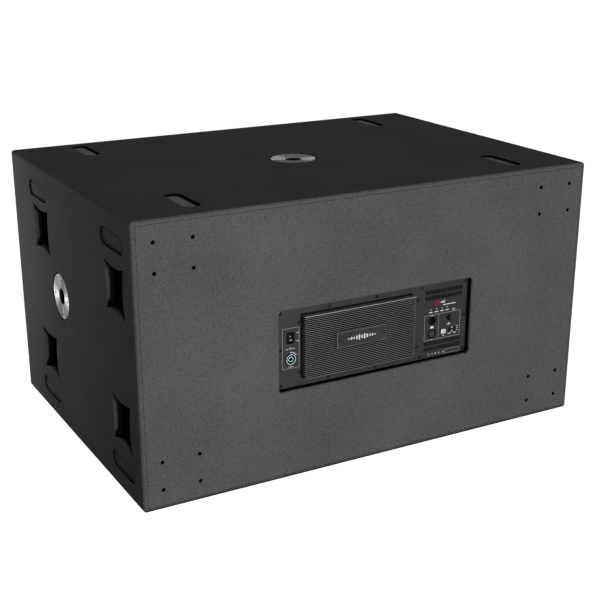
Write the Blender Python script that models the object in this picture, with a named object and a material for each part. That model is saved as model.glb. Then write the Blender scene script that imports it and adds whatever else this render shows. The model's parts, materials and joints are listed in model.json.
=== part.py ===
"""Powered double 18-inch subwoofer: plywood cabinet, two drivers, bass port and rear amplifier.

Frame: +Z up, the amplifier side faces -Y and the driver side faces +Y. The origin is on the
floor, under the centre of the cabinet. All lengths are metres.
"""

import math

import bmesh
import bpy
from mathutils import Matrix, Vector

# ------------------------------------------------------------------ driving dimensions
WIDTH, DEPTH, HEIGHT = 1.076, 0.760, 0.592  # cabinet without its feet
WALL = 0.018  # birch plywood
EDGE_RADIUS = 0.007  # round-over of the cabinet's outer edges
REBATE_RIM, PANEL_CHAMFER = 0.0085, 0.0015  # the rear panel sits in a rebate behind this rim
GAP = 0.0003  # clearance between neighbouring pieces

FOOT_HEIGHT = 0.008
FOOT_LENGTH, FOOT_WIDTH = 0.118, 0.031
SLOT_LENGTH, SLOT_WIDTH = 0.124, 0.036  # stacking recess for a foot
TOP_SLOT_DEPTH, SIDE_SLOT_DEPTH = 0.0055, 0.0035

# Stacking positions: x and y on the top and bottom, y and z on the sides.
FOOT_X = 0.387
FOOT_Y_FRONT, FOOT_Y_REAR = 0.288, -0.268
SIDE_FOOT_Y_FRONT, SIDE_FOOT_Y_REAR = 0.187, -0.274
SIDE_FOOT_INSET = 0.059  # from the cabinet's top or bottom edge

HANDLE_HALF = 0.049  # half the width of a hand hole between its corners
HANDLE_SAG = 0.0065  # how far each side of the hole bows inwards
HANDLE_ROUND = 0.006
# Hand holes: y, then the rise of the upper hole and the fall of the lower one from the middle.
HANDLE_COLUMNS = ((0.177, 0.152, 0.142), (-0.277, 0.140, 0.140))
CUP_DEPTH, CUP_HALF, CUP_FLANGE, CUP_WALL = 0.055, 0.058, 0.010, 0.0025

SOCKET_FLANGE_RADIUS, SOCKET_FLANGE_THICKNESS = 0.051, 0.003
SOCKET_BORE_RADIUS, SOCKET_TUBE_RADIUS, SOCKET_DEPTH = 0.018, 0.021, 0.080
SOCKET_RECESS_RADIUS, SOCKET_RECESS_DEPTH = 0.0525, 0.0045
TOP_SOCKET_X, TOP_SOCKET_Y = -0.006, -0.021
SIDE_SOCKET_Y, SIDE_SOCKET_Z = 0.070, 0.329

CASTOR_X, CASTOR_RISE = 0.4555, 0.2228  # centre of each castor pattern, rise from the middle
CASTOR_PITCH_X, CASTOR_PITCH_Z, CASTOR_HOLE_RADIUS = 0.080, 0.060, 0.004

BAFFLE_SETBACK = 0.040
DRIVER_X, DRIVER_CUTOUT_RADIUS = 0.280, 0.215
PORT_WIDTH, PORT_HEIGHT, PORT_WALL, PORT_LENGTH = 0.060, 0.480, 0.015, 0.300
GRILLE_SETBACK, GRILLE_RETURN, GRILLE_SHEET = 0.002, 0.020, 0.0015

AMP_X, AMP_Z = 0.003, 0.290  # centre of the amplifier plate
AMP_RECESS = 0.015  # depth of the plate's face below the rear panel's face
PLATE_WIDTH, PLATE_HEIGHT, PLATE_THICKNESS, PLATE_CORNER = 0.471, 0.1695, 0.003, 0.0055
OPENING_MARGIN, OPENING_ROUND = 0.002, 0.005

# Positions on the amplifier plate, from its centre: x to the right and z up, seen from behind.
ROCKER_AT = (-0.205, 0.023)
INLET_AT = (-0.2044, -0.0234)
HEAT_WINDOW = (-0.1812, -0.0690, 0.0912, 0.0710)  # low x, low z, high x, high z
FIN_COUNT, FIN_PITCH, FIN_THICKNESS, FIN_HEIGHT = 34, 0.00405, 0.0013, 0.016
FIN_LOW_X, FIN_HIGH_X = -0.180, 0.090
NAMEPLATE_AT, NAMEPLATE_SIZE = (-0.0460, 0.004), (0.120, 0.003, 0.034)
XLR_IN_AT, XLR_OUT_AT = (0.145, -0.031), (0.145, -0.001)
KNOB_AT = (0.189, 0.000)
USB_AT = (0.1762, -0.0306)
PHASE_AT, FILTER_AT = (0.1920, -0.0285), (0.2062, -0.0285)
VENT_COUNT, VENT_FIRST_X, VENT_PITCH, VENT_WIDTH, VENT_HEIGHT = 17, 0.1272, 0.00574, 0.0032, 0.0088
VENT_ROWS_Z = (0.0646, 0.0516, -0.0525, -0.0656)

ROCKER_TILT = math.radians(10)  # each side of level
BEZEL_SIZE, BEZEL_NECK, ROCKER_CAVITY = (0.0178, 0.0248), (0.0166, 0.0236), (0.0148, 0.0218)
SLIDER_TRAVEL = 0.0022  # each side of the middle
SLIDER_SLOT = (0.0052, 0.0080)

FAN_AT_X, FAN_HALF, FAN_THICKNESS, FAN_BORE = 0.112, 0.040, 0.025, 0.0375
FAN_BLADES = 7
CHAMBER_HALF_X, CHAMBER_HALF_Z, CHAMBER_DEPTH, CHAMBER_WALL = 0.262, 0.112, 0.150, 0.012
CHAMBER_MOUTH_X, CHAMBER_MOUTH_Z = 0.2225, 0.0730  # half sizes of its front opening

# ------------------------------------------------------------------ derived places
CABINET_MIDDLE = FOOT_HEIGHT + HEIGHT / 2
REAR_Y, FRONT_Y = -DEPTH / 2, DEPTH / 2
BAFFLE_Y = FRONT_Y - BAFFLE_SETBACK  # face that the drivers are screwed to
PLATE_Y = REAR_Y + AMP_RECESS
PLATE_BACK = PLATE_Y + PLATE_THICKNESS
LEFT, RIGHT = -1, 1
FINE, COARSE = 30, 24  # facets of turned pieces

MATERIALS = {
    "cabinet_paint": ((0.040, 0.040, 0.041), 0.62, 0.0),
    "raw_plywood": ((0.42, 0.30, 0.17), 0.70, 0.0),
    "rubber": ((0.020, 0.020, 0.020), 0.80, 0.0),
    "cup_plastic": ((0.012, 0.012, 0.012), 0.60, 0.0),
    "turned_aluminium": ((0.55, 0.55, 0.56), 0.28, 1.0),
    "grille_steel": ((0.018, 0.018, 0.019), 0.50, 0.3),
    "plate_paint": ((0.060, 0.057, 0.058), 0.50, 0.2),
    "black_anodised": ((0.030, 0.030, 0.032), 0.40, 0.6),
    "nameplate_aluminium": ((0.090, 0.088, 0.090), 0.38, 0.8),
    "black_plastic": ((0.015, 0.015, 0.016), 0.45, 0.0),
    "inlet_blue": ((0.10, 0.38, 0.55), 0.35, 0.0),
    "usb_white": ((0.80, 0.80, 0.80), 0.45, 0.0),
    "circuit_green": ((0.020, 0.120, 0.050), 0.50, 0.0),
    "basket_paint": ((0.025, 0.025, 0.026), 0.45, 0.5),
    "ferrite": ((0.050, 0.050, 0.055), 0.70, 0.2),
    "motor_steel": ((0.30, 0.30, 0.31), 0.35, 1.0),
    "cone_paper": ((0.022, 0.022, 0.022), 0.85, 0.0),
    "surround_cloth": ((0.016, 0.016, 0.016), 0.90, 0.0),
    "spider_cloth": ((0.42, 0.28, 0.12), 0.90, 0.0),
    "coil_copper": ((0.60, 0.28, 0.14), 0.40, 0.9),
}


# ------------------------------------------------------------------ scene helpers
def clear_scene():
    for obj in list(bpy.data.objects):
        bpy.data.objects.remove(obj)


def make_materials():
    made = {}
    for name, (colour, roughness, metallic) in MATERIALS.items():
        material = bpy.data.materials.new(name)
        material.use_nodes = True
        shader = material.node_tree.nodes["Principled BSDF"]
        shader.inputs["Base Color"].default_value = (*colour, 1.0)
        shader.inputs["Roughness"].default_value = roughness
        shader.inputs["Metallic"].default_value = metallic
        made[name] = material
    return made


def add_object(name, shape, material, origin=(0, 0, 0), smooth=False):
    """Adds a bmesh given in world coordinates as an object with its origin at the given point."""
    bmesh.ops.translate(shape, verts=shape.verts, vec=-Vector(origin))
    bmesh.ops.recalc_face_normals(shape, faces=shape.faces)
    mesh = bpy.data.meshes.new(name)
    shape.to_mesh(mesh)
    shape.free()
    obj = bpy.data.objects.new(name, mesh)
    obj.location = origin
    bpy.context.scene.collection.objects.link(obj)
    if material is not None:
        mesh.materials.append(bpy.data.materials[material])
    if smooth:
        mesh.shade_smooth()
        mesh.set_sharp_from_angle(angle=math.radians(35))
    return obj


def boolean(obj, operation, shape):
    """Cuts the shape from the object, fuses it on, or keeps only what both share."""
    helper = add_object(f"{obj.name}_{operation.lower()}", shape, None)
    helper.hide_render = True
    helper.display_type = "WIRE"
    modifier = obj.modifiers.new(operation.title(), "BOOLEAN")
    modifier.operation = operation
    modifier.object = helper


# ------------------------------------------------------------------ shapes
def on_axis(axis, u, v, along):
    """The point at `along` on an axis, with u and v on the two other axes in X, Y, Z order."""
    return {"X": (along, u, v), "Y": (u, along, v), "Z": (u, v, along)}[axis]


def loft(rings, ring_of_rings=False):
    """A closed body through rings of equal length: capped ends, or joined last to first."""
    shape = bmesh.new()
    corners = [[shape.verts.new(point) for point in ring] for ring in rings]
    count = len(corners[0])
    pairs = list(zip(corners, corners[1:]))
    if ring_of_rings:
        pairs.append((corners[-1], corners[0]))
    for first, second in pairs:
        for i in range(count):
            j = (i + 1) % count
            shape.faces.new((first[i], first[j], second[j], second[i]))
    if not ring_of_rings:
        shape.faces.new(corners[0])
        shape.faces.new(reversed(corners[-1]))
    return shape


def prism(outline, axis, start, end):
    return loft([[on_axis(axis, u, v, along) for u, v in outline] for along in (start, end)])


def slab(low, high):
    return prism(rectangle(low[0], low[1], high[0], high[1]), "Z", low[2], high[2])


def turned(profile, segments, axis, centre, direction=1):
    """Spins (radius, depth) points about an axis. Depth runs from the centre along direction.

    A profile that starts and ends on the axis is open, and any other is a closed loop.
    """
    shape = bmesh.new()
    first = "XYZ".index(axis)
    side = (first + 1) % 3
    along = Vector([float(i == first) for i in range(3)])
    out = Vector([float(i == side) for i in range(3)])
    points = [
        shape.verts.new(Vector(centre) + out * radius + along * depth * direction)
        for radius, depth in profile
    ]
    edges = [shape.edges.new(pair) for pair in zip(points, points[1:])]
    if profile[0][0] > 0:
        edges.append(shape.edges.new((points[-1], points[0])))
    bmesh.ops.spin(
        shape, geom=points + edges, cent=centre, axis=along, angle=math.tau, steps=segments,
        use_merge=True,
    )
    bmesh.ops.remove_doubles(shape, verts=shape.verts, dist=1e-6)
    return shape


def together(*shapes):
    """One bmesh that holds several shapes."""
    joined = bmesh.new()
    for shape in shapes:
        bmesh.ops.recalc_face_normals(shape, faces=shape.faces)
        mesh = bpy.data.meshes.new("part")
        shape.to_mesh(mesh)
        shape.free()
        joined.from_mesh(mesh)
        bpy.data.meshes.remove(mesh)
    return joined


# ------------------------------------------------------------------ outlines
def rectangle(low_u, low_v, high_u, high_v):
    return [(low_u, low_v), (high_u, low_v), (high_u, high_v), (low_u, high_v)]


def rounded_rectangle(centre, width, height, radius, steps):
    """Corner arcs of `steps` segments; one step gives a plain chamfer."""
    points = []
    for corner in range(4):
        across = 1 if corner in (0, 3) else -1
        up = 1 if corner in (0, 1) else -1
        hub_u = centre[0] + across * (width / 2 - radius)
        hub_v = centre[1] + up * (height / 2 - radius)
        for step in range(steps + 1):
            angle = math.radians(90) * (corner + step / steps)
            points.append((hub_u + radius * math.cos(angle), hub_v + radius * math.sin(angle)))
    return points


def stadium(centre, length, width, steps=8):
    """A slot with round ends, running along the outline's first axis."""
    radius = width / 2
    points = []
    for end, turn in ((1, -90), (-1, 90)):
        hub = centre[0] + end * (length / 2 - radius)
        for step in range(steps + 1):
            angle = math.radians(turn + 180 * step / steps)
            points.append((hub + radius * math.cos(angle), centre[1] + radius * math.sin(angle)))
    return points


def bowed_square(centre, half, sag, steps=4):
    """A square whose four sides bow inwards, leaving pointed corners."""
    points = []
    for quarter in range(4):
        turn = Matrix.Rotation(math.radians(90) * quarter, 2)
        for step in range(steps):
            across = half * (1 - 2 * step / steps)
            point = turn @ Vector((across, half - sag * (1 - (across / half) ** 2)))
            points.append((centre[0] + point.x, centre[1] + point.y))
    return points


def grown(outline, distance):
    """The counter-clockwise outline moved outwards, square to its sides."""
    moved = []
    for i, here in enumerate(outline):
        before, after = Vector(outline[i - 1]), Vector(outline[(i + 1) % len(outline)])
        into, away = (Vector(here) - before).normalized(), (after - Vector(here)).normalized()
        normal = Vector((into.y + away.y, -into.x - away.x)).normalized()
        stretch = max(0.5, normal.dot(Vector((into.y, -into.x))))
        moved.append(tuple(Vector(here) + normal * distance / stretch))
    return moved


def routed_hole(outline, axis, face, inwards, radius, depth, steps=2):
    """A cutter for a hole whose edge is rounded over where it meets the face."""
    rings = [(radius, -0.001)]
    for step in range(steps + 1):
        angle = math.radians(90) * step / steps
        rings.append((radius * (1 - math.sin(angle)), radius * (1 - math.cos(angle))))
    rings.append((0.0, depth))
    return loft(
        [
            [on_axis(axis, u, v, face + inwards * sunk) for u, v in grown(outline, wider)]
            for wider, sunk in rings
        ]
    )


# ------------------------------------------------------------------ cabinet
def handle_places():
    for y, rise, fall in HANDLE_COLUMNS:
        yield y, CABINET_MIDDLE + rise
        yield y, CABINET_MIDDLE - fall


def side_foot_places():
    for y in (SIDE_FOOT_Y_FRONT, SIDE_FOOT_Y_REAR):
        yield y, FOOT_HEIGHT + HEIGHT - SIDE_FOOT_INSET
        yield y, FOOT_HEIGHT + SIDE_FOOT_INSET


def base_foot_places():
    for y in (FOOT_Y_FRONT, FOOT_Y_REAR):
        for x in (-FOOT_X, FOOT_X):
            yield x, y


def lengthwise(place, length, width):
    """A slot outline on the top or bottom that runs along Y."""
    return [(place[0] - v, place[1] + u) for u, v in stadium((0, 0), length, width)]


def wrap_panel(name, corners):
    """A mitred panel: a rounded block kept only inside a trapezium of (x, z) corners.

    A rebate along its rear edge takes the rear panel.
    """
    block = bmesh.new()
    bmesh.ops.create_cube(block, size=1)
    bmesh.ops.scale(block, verts=block.verts, vec=(WIDTH, DEPTH, HEIGHT))
    bmesh.ops.bevel(
        block, geom=block.edges[:], offset=EDGE_RADIUS, segments=3, profile=0.5, affect="EDGES"
    )
    bmesh.ops.translate(block, verts=block.verts, vec=(0, 0, CABINET_MIDDLE))
    panel = add_object(name, block, "cabinet_paint", smooth=True)
    past = 0.02
    boolean(panel, "INTERSECT", prism(corners, "Y", REAR_Y - past, FRONT_Y + past))
    half_x, half_z = WIDTH / 2 - REBATE_RIM, HEIGHT / 2 - REBATE_RIM
    boolean(panel, "DIFFERENCE", slab((-half_x, REAR_Y - past, CABINET_MIDDLE - half_z),
                                      (half_x, REAR_Y + WALL, CABINET_MIDDLE + half_z)))
    return panel


def mitred(side_x, side_z):
    """The trapezium of a panel on one side of the cabinet: side_x or side_z is -1, 0 or 1."""
    past = 0.02
    half_w, half_h = WIDTH / 2, HEIGHT / 2
    if side_z:
        wide, narrow = half_w + past - GAP / 2, half_w - WALL - GAP / 2
        outer = CABINET_MIDDLE + side_z * (half_h + past)
        inner = CABINET_MIDDLE + side_z * (half_h - WALL)
        return [(-wide, outer), (wide, outer), (narrow, inner), (-narrow, inner)]
    wide, narrow = half_h + past - GAP / 2, half_h - WALL - GAP / 2
    outer, inner = side_x * (half_w + past), side_x * (half_w - WALL)
    middle = CABINET_MIDDLE
    return [
        (outer, middle - wide), (outer, middle + wide), (inner, middle + narrow), (inner, middle - narrow)
    ]


def socket_cutter(axis, centre, inwards):
    tube = SOCKET_TUBE_RADIUS + 0.0015
    profile = [
        (0, -0.001), (SOCKET_RECESS_RADIUS, -0.001), (SOCKET_RECESS_RADIUS, SOCKET_RECESS_DEPTH),
        (tube, SOCKET_RECESS_DEPTH), (tube, WALL + 0.001), (0, WALL + 0.001),
    ]
    return turned(profile, FINE, axis, centre, inwards)


def make_top():
    panel = wrap_panel("top_panel", mitred(0, 1))
    top = FOOT_HEIGHT + HEIGHT
    slots = [
        prism(lengthwise(place, SLOT_LENGTH, SLOT_WIDTH), "Z", top - TOP_SLOT_DEPTH, top + 0.001)
        for place in base_foot_places()
    ]
    boolean(panel, "DIFFERENCE", together(
        socket_cutter("Z", (TOP_SOCKET_X, TOP_SOCKET_Y, top), -1), *slots))


def make_bottom():
    wrap_panel("bottom_panel", mitred(0, -1))
    names = ("foot_front_left", "foot_front_right", "foot_rear_left", "foot_rear_right")
    for name, place in zip(names, base_foot_places()):
        make_foot(name, lengthwise(place, FOOT_LENGTH, FOOT_WIDTH), "Z", FOOT_HEIGHT, -1)


def make_foot(name, outline, axis, face, outwards):
    """A skid with a chamfered edge, screwed flat on a panel's face."""
    chamfer = 0.002
    ends = ((outline, GAP), (outline, FOOT_HEIGHT - chamfer), (grown(outline, -chamfer), FOOT_HEIGHT))
    turned_round = [
        [on_axis(axis, u, v, face + outwards * out) for u, v in ring] for ring, out in ends
    ]
    add_object(name, loft(turned_round), "rubber")


def make_side(name, side):
    """Hand holes on both sides; the left has stacking recesses and a pole socket, the right has feet."""
    panel = wrap_panel(name, mitred(side, 0))
    face = side * WIDTH / 2
    cutters = []
    for y, z in handle_places():
        outline = bowed_square((y, z), HANDLE_HALF, HANDLE_SAG)
        cutters.append(routed_hole(outline, "X", face, -side, HANDLE_ROUND, WALL + 0.001))
    if side == LEFT:
        for place in side_foot_places():
            outline = stadium(place, SLOT_LENGTH, SLOT_WIDTH)
            cutters.append(prism(outline, "X", face - 0.001, face + SIDE_SLOT_DEPTH))
        cutters.append(socket_cutter("X", (face, SIDE_SOCKET_Y, SIDE_SOCKET_Z), 1))
    boolean(panel, "DIFFERENCE", together(*cutters))


def make_side_feet():
    names = ("side_foot_front_upper", "side_foot_front_lower", "side_foot_rear_upper",
             "side_foot_rear_lower")
    for name, place in zip(names, side_foot_places()):
        make_foot(name, stadium(place, FOOT_LENGTH, FOOT_WIDTH), "X", WIDTH / 2, 1)


def make_handle_cups():
    """A closed tray behind each hand hole keeps the cabinet airtight."""
    for side, side_name in ((LEFT, "left"), (RIGHT, "right")):
        mouth = side * (WIDTH / 2 - WALL - GAP)
        corner = 0.014
        for (y, z), place in zip(handle_places(), ("front_upper", "front_lower", "rear_upper",
                                                   "rear_lower")):
            def ring(half, sunk):
                outline = rounded_rectangle((y, z), 2 * half, 2 * half, corner, 1)
                return [on_axis("X", u, v, mouth - side * sunk) for u, v in outline]

            inner = CUP_HALF - CUP_WALL
            shape = loft([
                ring(inner, CUP_DEPTH - CUP_WALL), ring(inner, 0), ring(CUP_HALF + CUP_FLANGE, 0),
                ring(CUP_HALF + CUP_FLANGE, CUP_WALL), ring(CUP_HALF, CUP_WALL),
                ring(CUP_HALF, CUP_DEPTH),
            ])
            add_object(f"handle_cup_{side_name}_{place}", shape, "cup_plastic")


def make_rear():
    """The rear panel's chamfered edge leaves a fine groove inside the cabinet's rim."""
    half_x, half_z = WIDTH / 2 - REBATE_RIM - GAP, HEIGHT / 2 - REBATE_RIM - GAP
    outline = rectangle(-half_x, CABINET_MIDDLE - half_z, half_x, CABINET_MIDDLE + half_z)
    rings = ((grown(outline, -PANEL_CHAMFER), REAR_Y), (outline, REAR_Y + PANEL_CHAMFER),
             (outline, REAR_Y + WALL - GAP))
    shape = loft([[on_axis("Y", u, v, y) for u, v in ring] for ring, y in rings])
    panel = add_object("rear_panel", shape, "cabinet_paint")
    opening = rounded_rectangle(
        (AMP_X, AMP_Z), PLATE_WIDTH + 2 * OPENING_MARGIN, PLATE_HEIGHT + 2 * OPENING_MARGIN,
        PLATE_CORNER + OPENING_MARGIN, 4)
    cutters = [routed_hole(opening, "Y", REAR_Y, 1, OPENING_ROUND, WALL + 0.001)]
    profile = [(0, -0.001), (CASTOR_HOLE_RADIUS, -0.001), (CASTOR_HOLE_RADIUS, WALL + 0.001),
               (0, WALL + 0.001)]
    for side_x in (LEFT, RIGHT):
        for side_z in (-1, 1):
            for column in (-0.5, 0.5):
                for row in (-0.5, 0.5):
                    x = side_x * CASTOR_X + column * CASTOR_PITCH_X
                    z = CABINET_MIDDLE + side_z * CASTOR_RISE + row * CASTOR_PITCH_Z
                    cutters.append(turned(profile, 10, "Y", (x, REAR_Y, z)))
    boolean(panel, "DIFFERENCE", together(*cutters))


def make_baffle():
    half_x, half_z = WIDTH / 2 - WALL - GAP, HEIGHT / 2 - WALL - GAP
    shape = slab((-half_x, BAFFLE_Y - WALL, CABINET_MIDDLE - half_z),
                 (half_x, BAFFLE_Y, CABINET_MIDDLE + half_z))
    baffle = add_object("front_baffle", shape, "cabinet_paint")
    past = 0.001
    radius = DRIVER_CUTOUT_RADIUS
    profile = [(0, -past), (radius, -past), (radius, WALL + past), (0, WALL + past)]
    cutters = [
        turned(profile, 48, "Y", (side * DRIVER_X, BAFFLE_Y, CABINET_MIDDLE), -1) for side in (LEFT, RIGHT)
    ]
    slot = rounded_rectangle((0, CABINET_MIDDLE), PORT_WIDTH, PORT_HEIGHT, 0.008, 3)
    cutters.append(prism(slot, "Y", BAFFLE_Y - WALL - past, BAFFLE_Y + past))
    boolean(baffle, "DIFFERENCE", together(*cutters))


def make_port_duct():
    """A rectangular painted plywood duct that runs back from the slot in the baffle."""
    inner = rounded_rectangle((0, CABINET_MIDDLE), PORT_WIDTH, PORT_HEIGHT, 0.008, 1)
    outer = grown(inner, PORT_WALL)
    front = BAFFLE_Y - WALL - GAP
    rings = ((outer, front), (outer, front - PORT_LENGTH), (inner, front - PORT_LENGTH), (inner, front))
    shape = loft([[on_axis("Y", u, v, y) for u, v in ring] for ring, y in rings], ring_of_rings=True)
    add_object("port_duct", shape, "cabinet_paint")


def make_front_grille():
    """A steel sheet folded back along its four edges."""
    margin = 0.0015
    width, height = WIDTH - 2 * (WALL + margin), HEIGHT - 2 * (WALL + margin)
    face = FRONT_Y - GRILLE_SETBACK
    outer = rounded_rectangle((0, CABINET_MIDDLE), width, height, 0.006, 2)
    inner = grown(outer, -GRILLE_SHEET)
    rings = ((inner, face - GRILLE_SHEET), (inner, face - GRILLE_RETURN),
             (outer, face - GRILLE_RETURN), (outer, face))
    shape = loft([[on_axis("Y", u, v, y) for u, v in ring] for ring, y in rings])
    add_object("front_grille", shape, "grille_steel")


def make_pole_sockets():
    """A turned flange with a closed tube that takes a speaker pole."""
    floor = SOCKET_DEPTH - 0.003
    profile = [
        (0, floor), (SOCKET_BORE_RADIUS, floor), (SOCKET_BORE_RADIUS, 0), (SOCKET_FLANGE_RADIUS, 0),
        (SOCKET_FLANGE_RADIUS, SOCKET_FLANGE_THICKNESS), (SOCKET_TUBE_RADIUS, SOCKET_FLANGE_THICKNESS),
        (SOCKET_TUBE_RADIUS, SOCKET_DEPTH), (0, SOCKET_DEPTH),
    ]
    sunk = SOCKET_RECESS_DEPTH - SOCKET_FLANGE_THICKNESS - GAP
    top = (TOP_SOCKET_X, TOP_SOCKET_Y, FOOT_HEIGHT + HEIGHT - sunk)
    side = (-WIDTH / 2 + sunk, SIDE_SOCKET_Y, SIDE_SOCKET_Z)
    add_object("pole_socket_top", turned(profile, FINE, "Z", top, -1), "turned_aluminium", smooth=True)
    add_object("pole_socket_side", turned(profile, FINE, "X", side, 1), "turned_aluminium", smooth=True)


# ------------------------------------------------------------------ drivers
# Profiles are (radius, depth behind the baffle's face). Negative depths stand in front of it.
BASKET_PROFILE = [
    (0.205, -0.008), (0.230, -0.008), (0.230, -GAP), (0.213, -GAP), (0.211, 0.030), (0.203, 0.036),
    (0.128, 0.089), (0.120, 0.095), (0.120, 0.128), (0.060, 0.128), (0.060, 0.120), (0.114, 0.120),
    (0.114, 0.090), (0.124, 0.083), (0.197, 0.032), (0.204, 0.028),
]
BASKET_OUTER_WINDOW, BASKET_INNER_WINDOW = 5, 13  # profile edges that the windows open
MAGNET_PROFILE = [(0.0545, 0.1283), (0.108, 0.1283), (0.108, 0.140), (0.113, 0.140), (0.113, 0.175),
                  (0.062, 0.175), (0.062, 0.140), (0.0545, 0.140)]
YOKE_PROFILE = [(0.014, 0.127), (0.048, 0.127), (0.048, 0.1753), (0.108, 0.1753), (0.108, 0.187),
                (0.014, 0.187)]
COIL_PROFILE = [(0.0500, 0.066), (0.0512, 0.066), (0.0512, 0.122), (0.0526, 0.122), (0.0526, 0.150),
                (0.0500, 0.150)]
CONE_PROFILE = [(0.188, -0.005), (0.188, -0.0025), (0.0535, 0.0755), (0.0520, 0.0755),
                (0.0520, 0.0705), (0.0560, 0.0700)]
DUST_CAP_PROFILE = [(0, 0.048), (0.028, 0.0505), (0.064, 0.0646), (0.061, 0.0662), (0.028, 0.0532),
                    (0, 0.0505)]
SURROUND_PROFILE = [(0.178, -0.0071), (0.1888, -0.0074), (0.194, -0.0145), (0.202, -0.0145),
                    (0.2062, -0.0099), (0.218, -0.0099), (0.218, -0.0083), (0.2054, -0.0083),
                    (0.2012, -0.0129), (0.1948, -0.0129), (0.1905, -0.0056), (0.178, -0.0056)]
SPIDER_PROFILE = [(0.0522, 0.092), (0.073, 0.088), (0.093, 0.096), (0.113, 0.092), (0.113, 0.0935),
                  (0.093, 0.0975), (0.073, 0.0895), (0.0522, 0.0935)]


def basket_shape(centre):
    """The turned basket with six windows between its spokes."""
    windows, open_segments, spoke_segments = 6, 2, 2
    segments = windows * (open_segments + spoke_segments)
    shape = bmesh.new()
    grid = []
    for s in range(segments):
        angle = math.tau * s / segments
        grid.append([
            shape.verts.new((centre[0] + r * math.cos(angle), centre[1] - depth,
                             centre[2] + r * math.sin(angle)))
            for r, depth in BASKET_PROFILE
        ])
    outer, inner = BASKET_OUTER_WINDOW, BASKET_INNER_WINDOW
    in_window = [s % (open_segments + spoke_segments) < open_segments for s in range(segments)]
    for s in range(segments):
        here, there = grid[s], grid[(s + 1) % segments]
        for k in range(len(BASKET_PROFILE)):
            after = (k + 1) % len(BASKET_PROFILE)
            if not (in_window[s] and k in (outer, inner)):
                shape.faces.new((here[k], here[after], there[after], there[k]))
        if in_window[s]:
            shape.faces.new((here[outer], there[outer], there[inner + 1], here[inner + 1]))
            shape.faces.new((here[outer + 1], there[outer + 1], there[inner], here[inner]))
        if in_window[s] != in_window[s - 1]:
            shape.faces.new((here[outer], here[outer + 1], here[inner], here[inner + 1]))
    return shape


def make_driver(name, side):
    """The cone, dust cap and voice coil move together, so they share an empty on the driver's axis."""
    centre = (side * DRIVER_X, BAFFLE_Y, CABINET_MIDDLE)
    add_object(f"{name}_basket", basket_shape(centre), "basket_paint", smooth=True)
    still = (("magnet", MAGNET_PROFILE, "ferrite"), ("yoke", YOKE_PROFILE, "motor_steel"),
             ("surround", SURROUND_PROFILE, "surround_cloth"), ("spider", SPIDER_PROFILE, "spider_cloth"))
    moving = (("cone", CONE_PROFILE, "cone_paper"), ("dust_cap", DUST_CAP_PROFILE, "cone_paper"),
              ("voice_coil", COIL_PROFILE, "coil_copper"))
    for piece, profile, material in still:
        add_object(f"{name}_{piece}", turned(profile, COARSE, "Y", centre, -1), material, smooth=True)
    carrier = bpy.data.objects.new(f"{name}_axis", None)
    carrier.location = centre
    bpy.context.scene.collection.objects.link(carrier)
    for piece, profile, material in moving:
        shape = turned(profile, COARSE, "Y", centre, -1)
        obj = add_object(f"{name}_{piece}", shape, material, origin=centre, smooth=True)
        obj.parent = carrier
        obj.location = (0, 0, 0)


# ------------------------------------------------------------------ amplifier
def on_plate(at, y=PLATE_Y):
    """World position of a point given from the plate's centre."""
    return (AMP_X + at[0], y, AMP_Z + at[1])


def plate_box(at, size, front, back):
    """A block on the plate, between two distances behind the plate's face."""
    x, _, z = on_plate(at)
    return slab((x - size[0] / 2, PLATE_Y + front, z - size[1] / 2),
                (x + size[0] / 2, PLATE_Y + back, z + size[1] / 2))


def plate_hole(at, radius, segments=16):
    past = 0.001
    back = PLATE_THICKNESS + past
    profile = [(0, -past), (radius, -past), (radius, back), (0, back)]
    return turned(profile, segments, "Y", on_plate(at))


def make_amp_plate():
    outline = rounded_rectangle((AMP_X, AMP_Z), PLATE_WIDTH, PLATE_HEIGHT, PLATE_CORNER, 4)
    plate = add_object("amp_plate", prism(outline, "Y", PLATE_Y, PLATE_BACK), "plate_paint")
    past = 0.001
    back = PLATE_THICKNESS + past
    margin = 0.0005
    low_x, low_z, high_x, high_z = HEAT_WINDOW
    window_at = ((low_x + high_x) / 2, (low_z + high_z) / 2)
    cutters = [
        plate_box(window_at, (high_x - low_x, high_z - low_z), -past, back),
        plate_box(ROCKER_AT, (BEZEL_NECK[0] + margin, BEZEL_NECK[1] + margin), -past, back),
        plate_box(USB_AT, (0.0125 + margin, 0.0106 + margin), -past, back),
        plate_box(PHASE_AT, SLIDER_SLOT, -past, back),
        plate_box(FILTER_AT, SLIDER_SLOT, -past, back),
        plate_hole(INLET_AT, 0.0112, 20),
        plate_hole(XLR_IN_AT, 0.0110, 20),
        plate_hole(XLR_OUT_AT, 0.0100, 20),
        plate_hole(KNOB_AT, 0.0036, 12),
    ]
    for row in VENT_ROWS_Z:
        for i in range(VENT_COUNT):
            at = (VENT_FIRST_X + i * VENT_PITCH, row)
            cutters.append(plate_box(at, (VENT_WIDTH, VENT_HEIGHT), -past, back))
    boolean(plate, "DIFFERENCE", together(*cutters))


def make_heatsink():
    """An extrusion with its base behind the plate and level fins that stand out through the window."""
    low_x, low_z, high_x, high_z = HEAT_WINDOW
    seat, base = 0.0015, 0.008
    tip, root = -FIN_HEIGHT, PLATE_THICKNESS + GAP
    outline = [(root + base, low_z - seat), (root + base, high_z + seat), (root, high_z + seat)]
    lowest = -((FIN_COUNT - 1) * FIN_PITCH + FIN_THICKNESS) / 2
    for i in reversed(range(FIN_COUNT)):
        z = lowest + i * FIN_PITCH
        outline += [(root, z + FIN_THICKNESS), (tip, z + FIN_THICKNESS), (tip, z), (root, z)]
    outline.append((root, low_z - seat))
    ends = []
    for x in (FIN_LOW_X, FIN_HIGH_X):
        ends.append([(AMP_X + x, PLATE_Y + out, AMP_Z + z) for out, z in outline])
    add_object("heatsink", loft(ends), "black_anodised")


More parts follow.
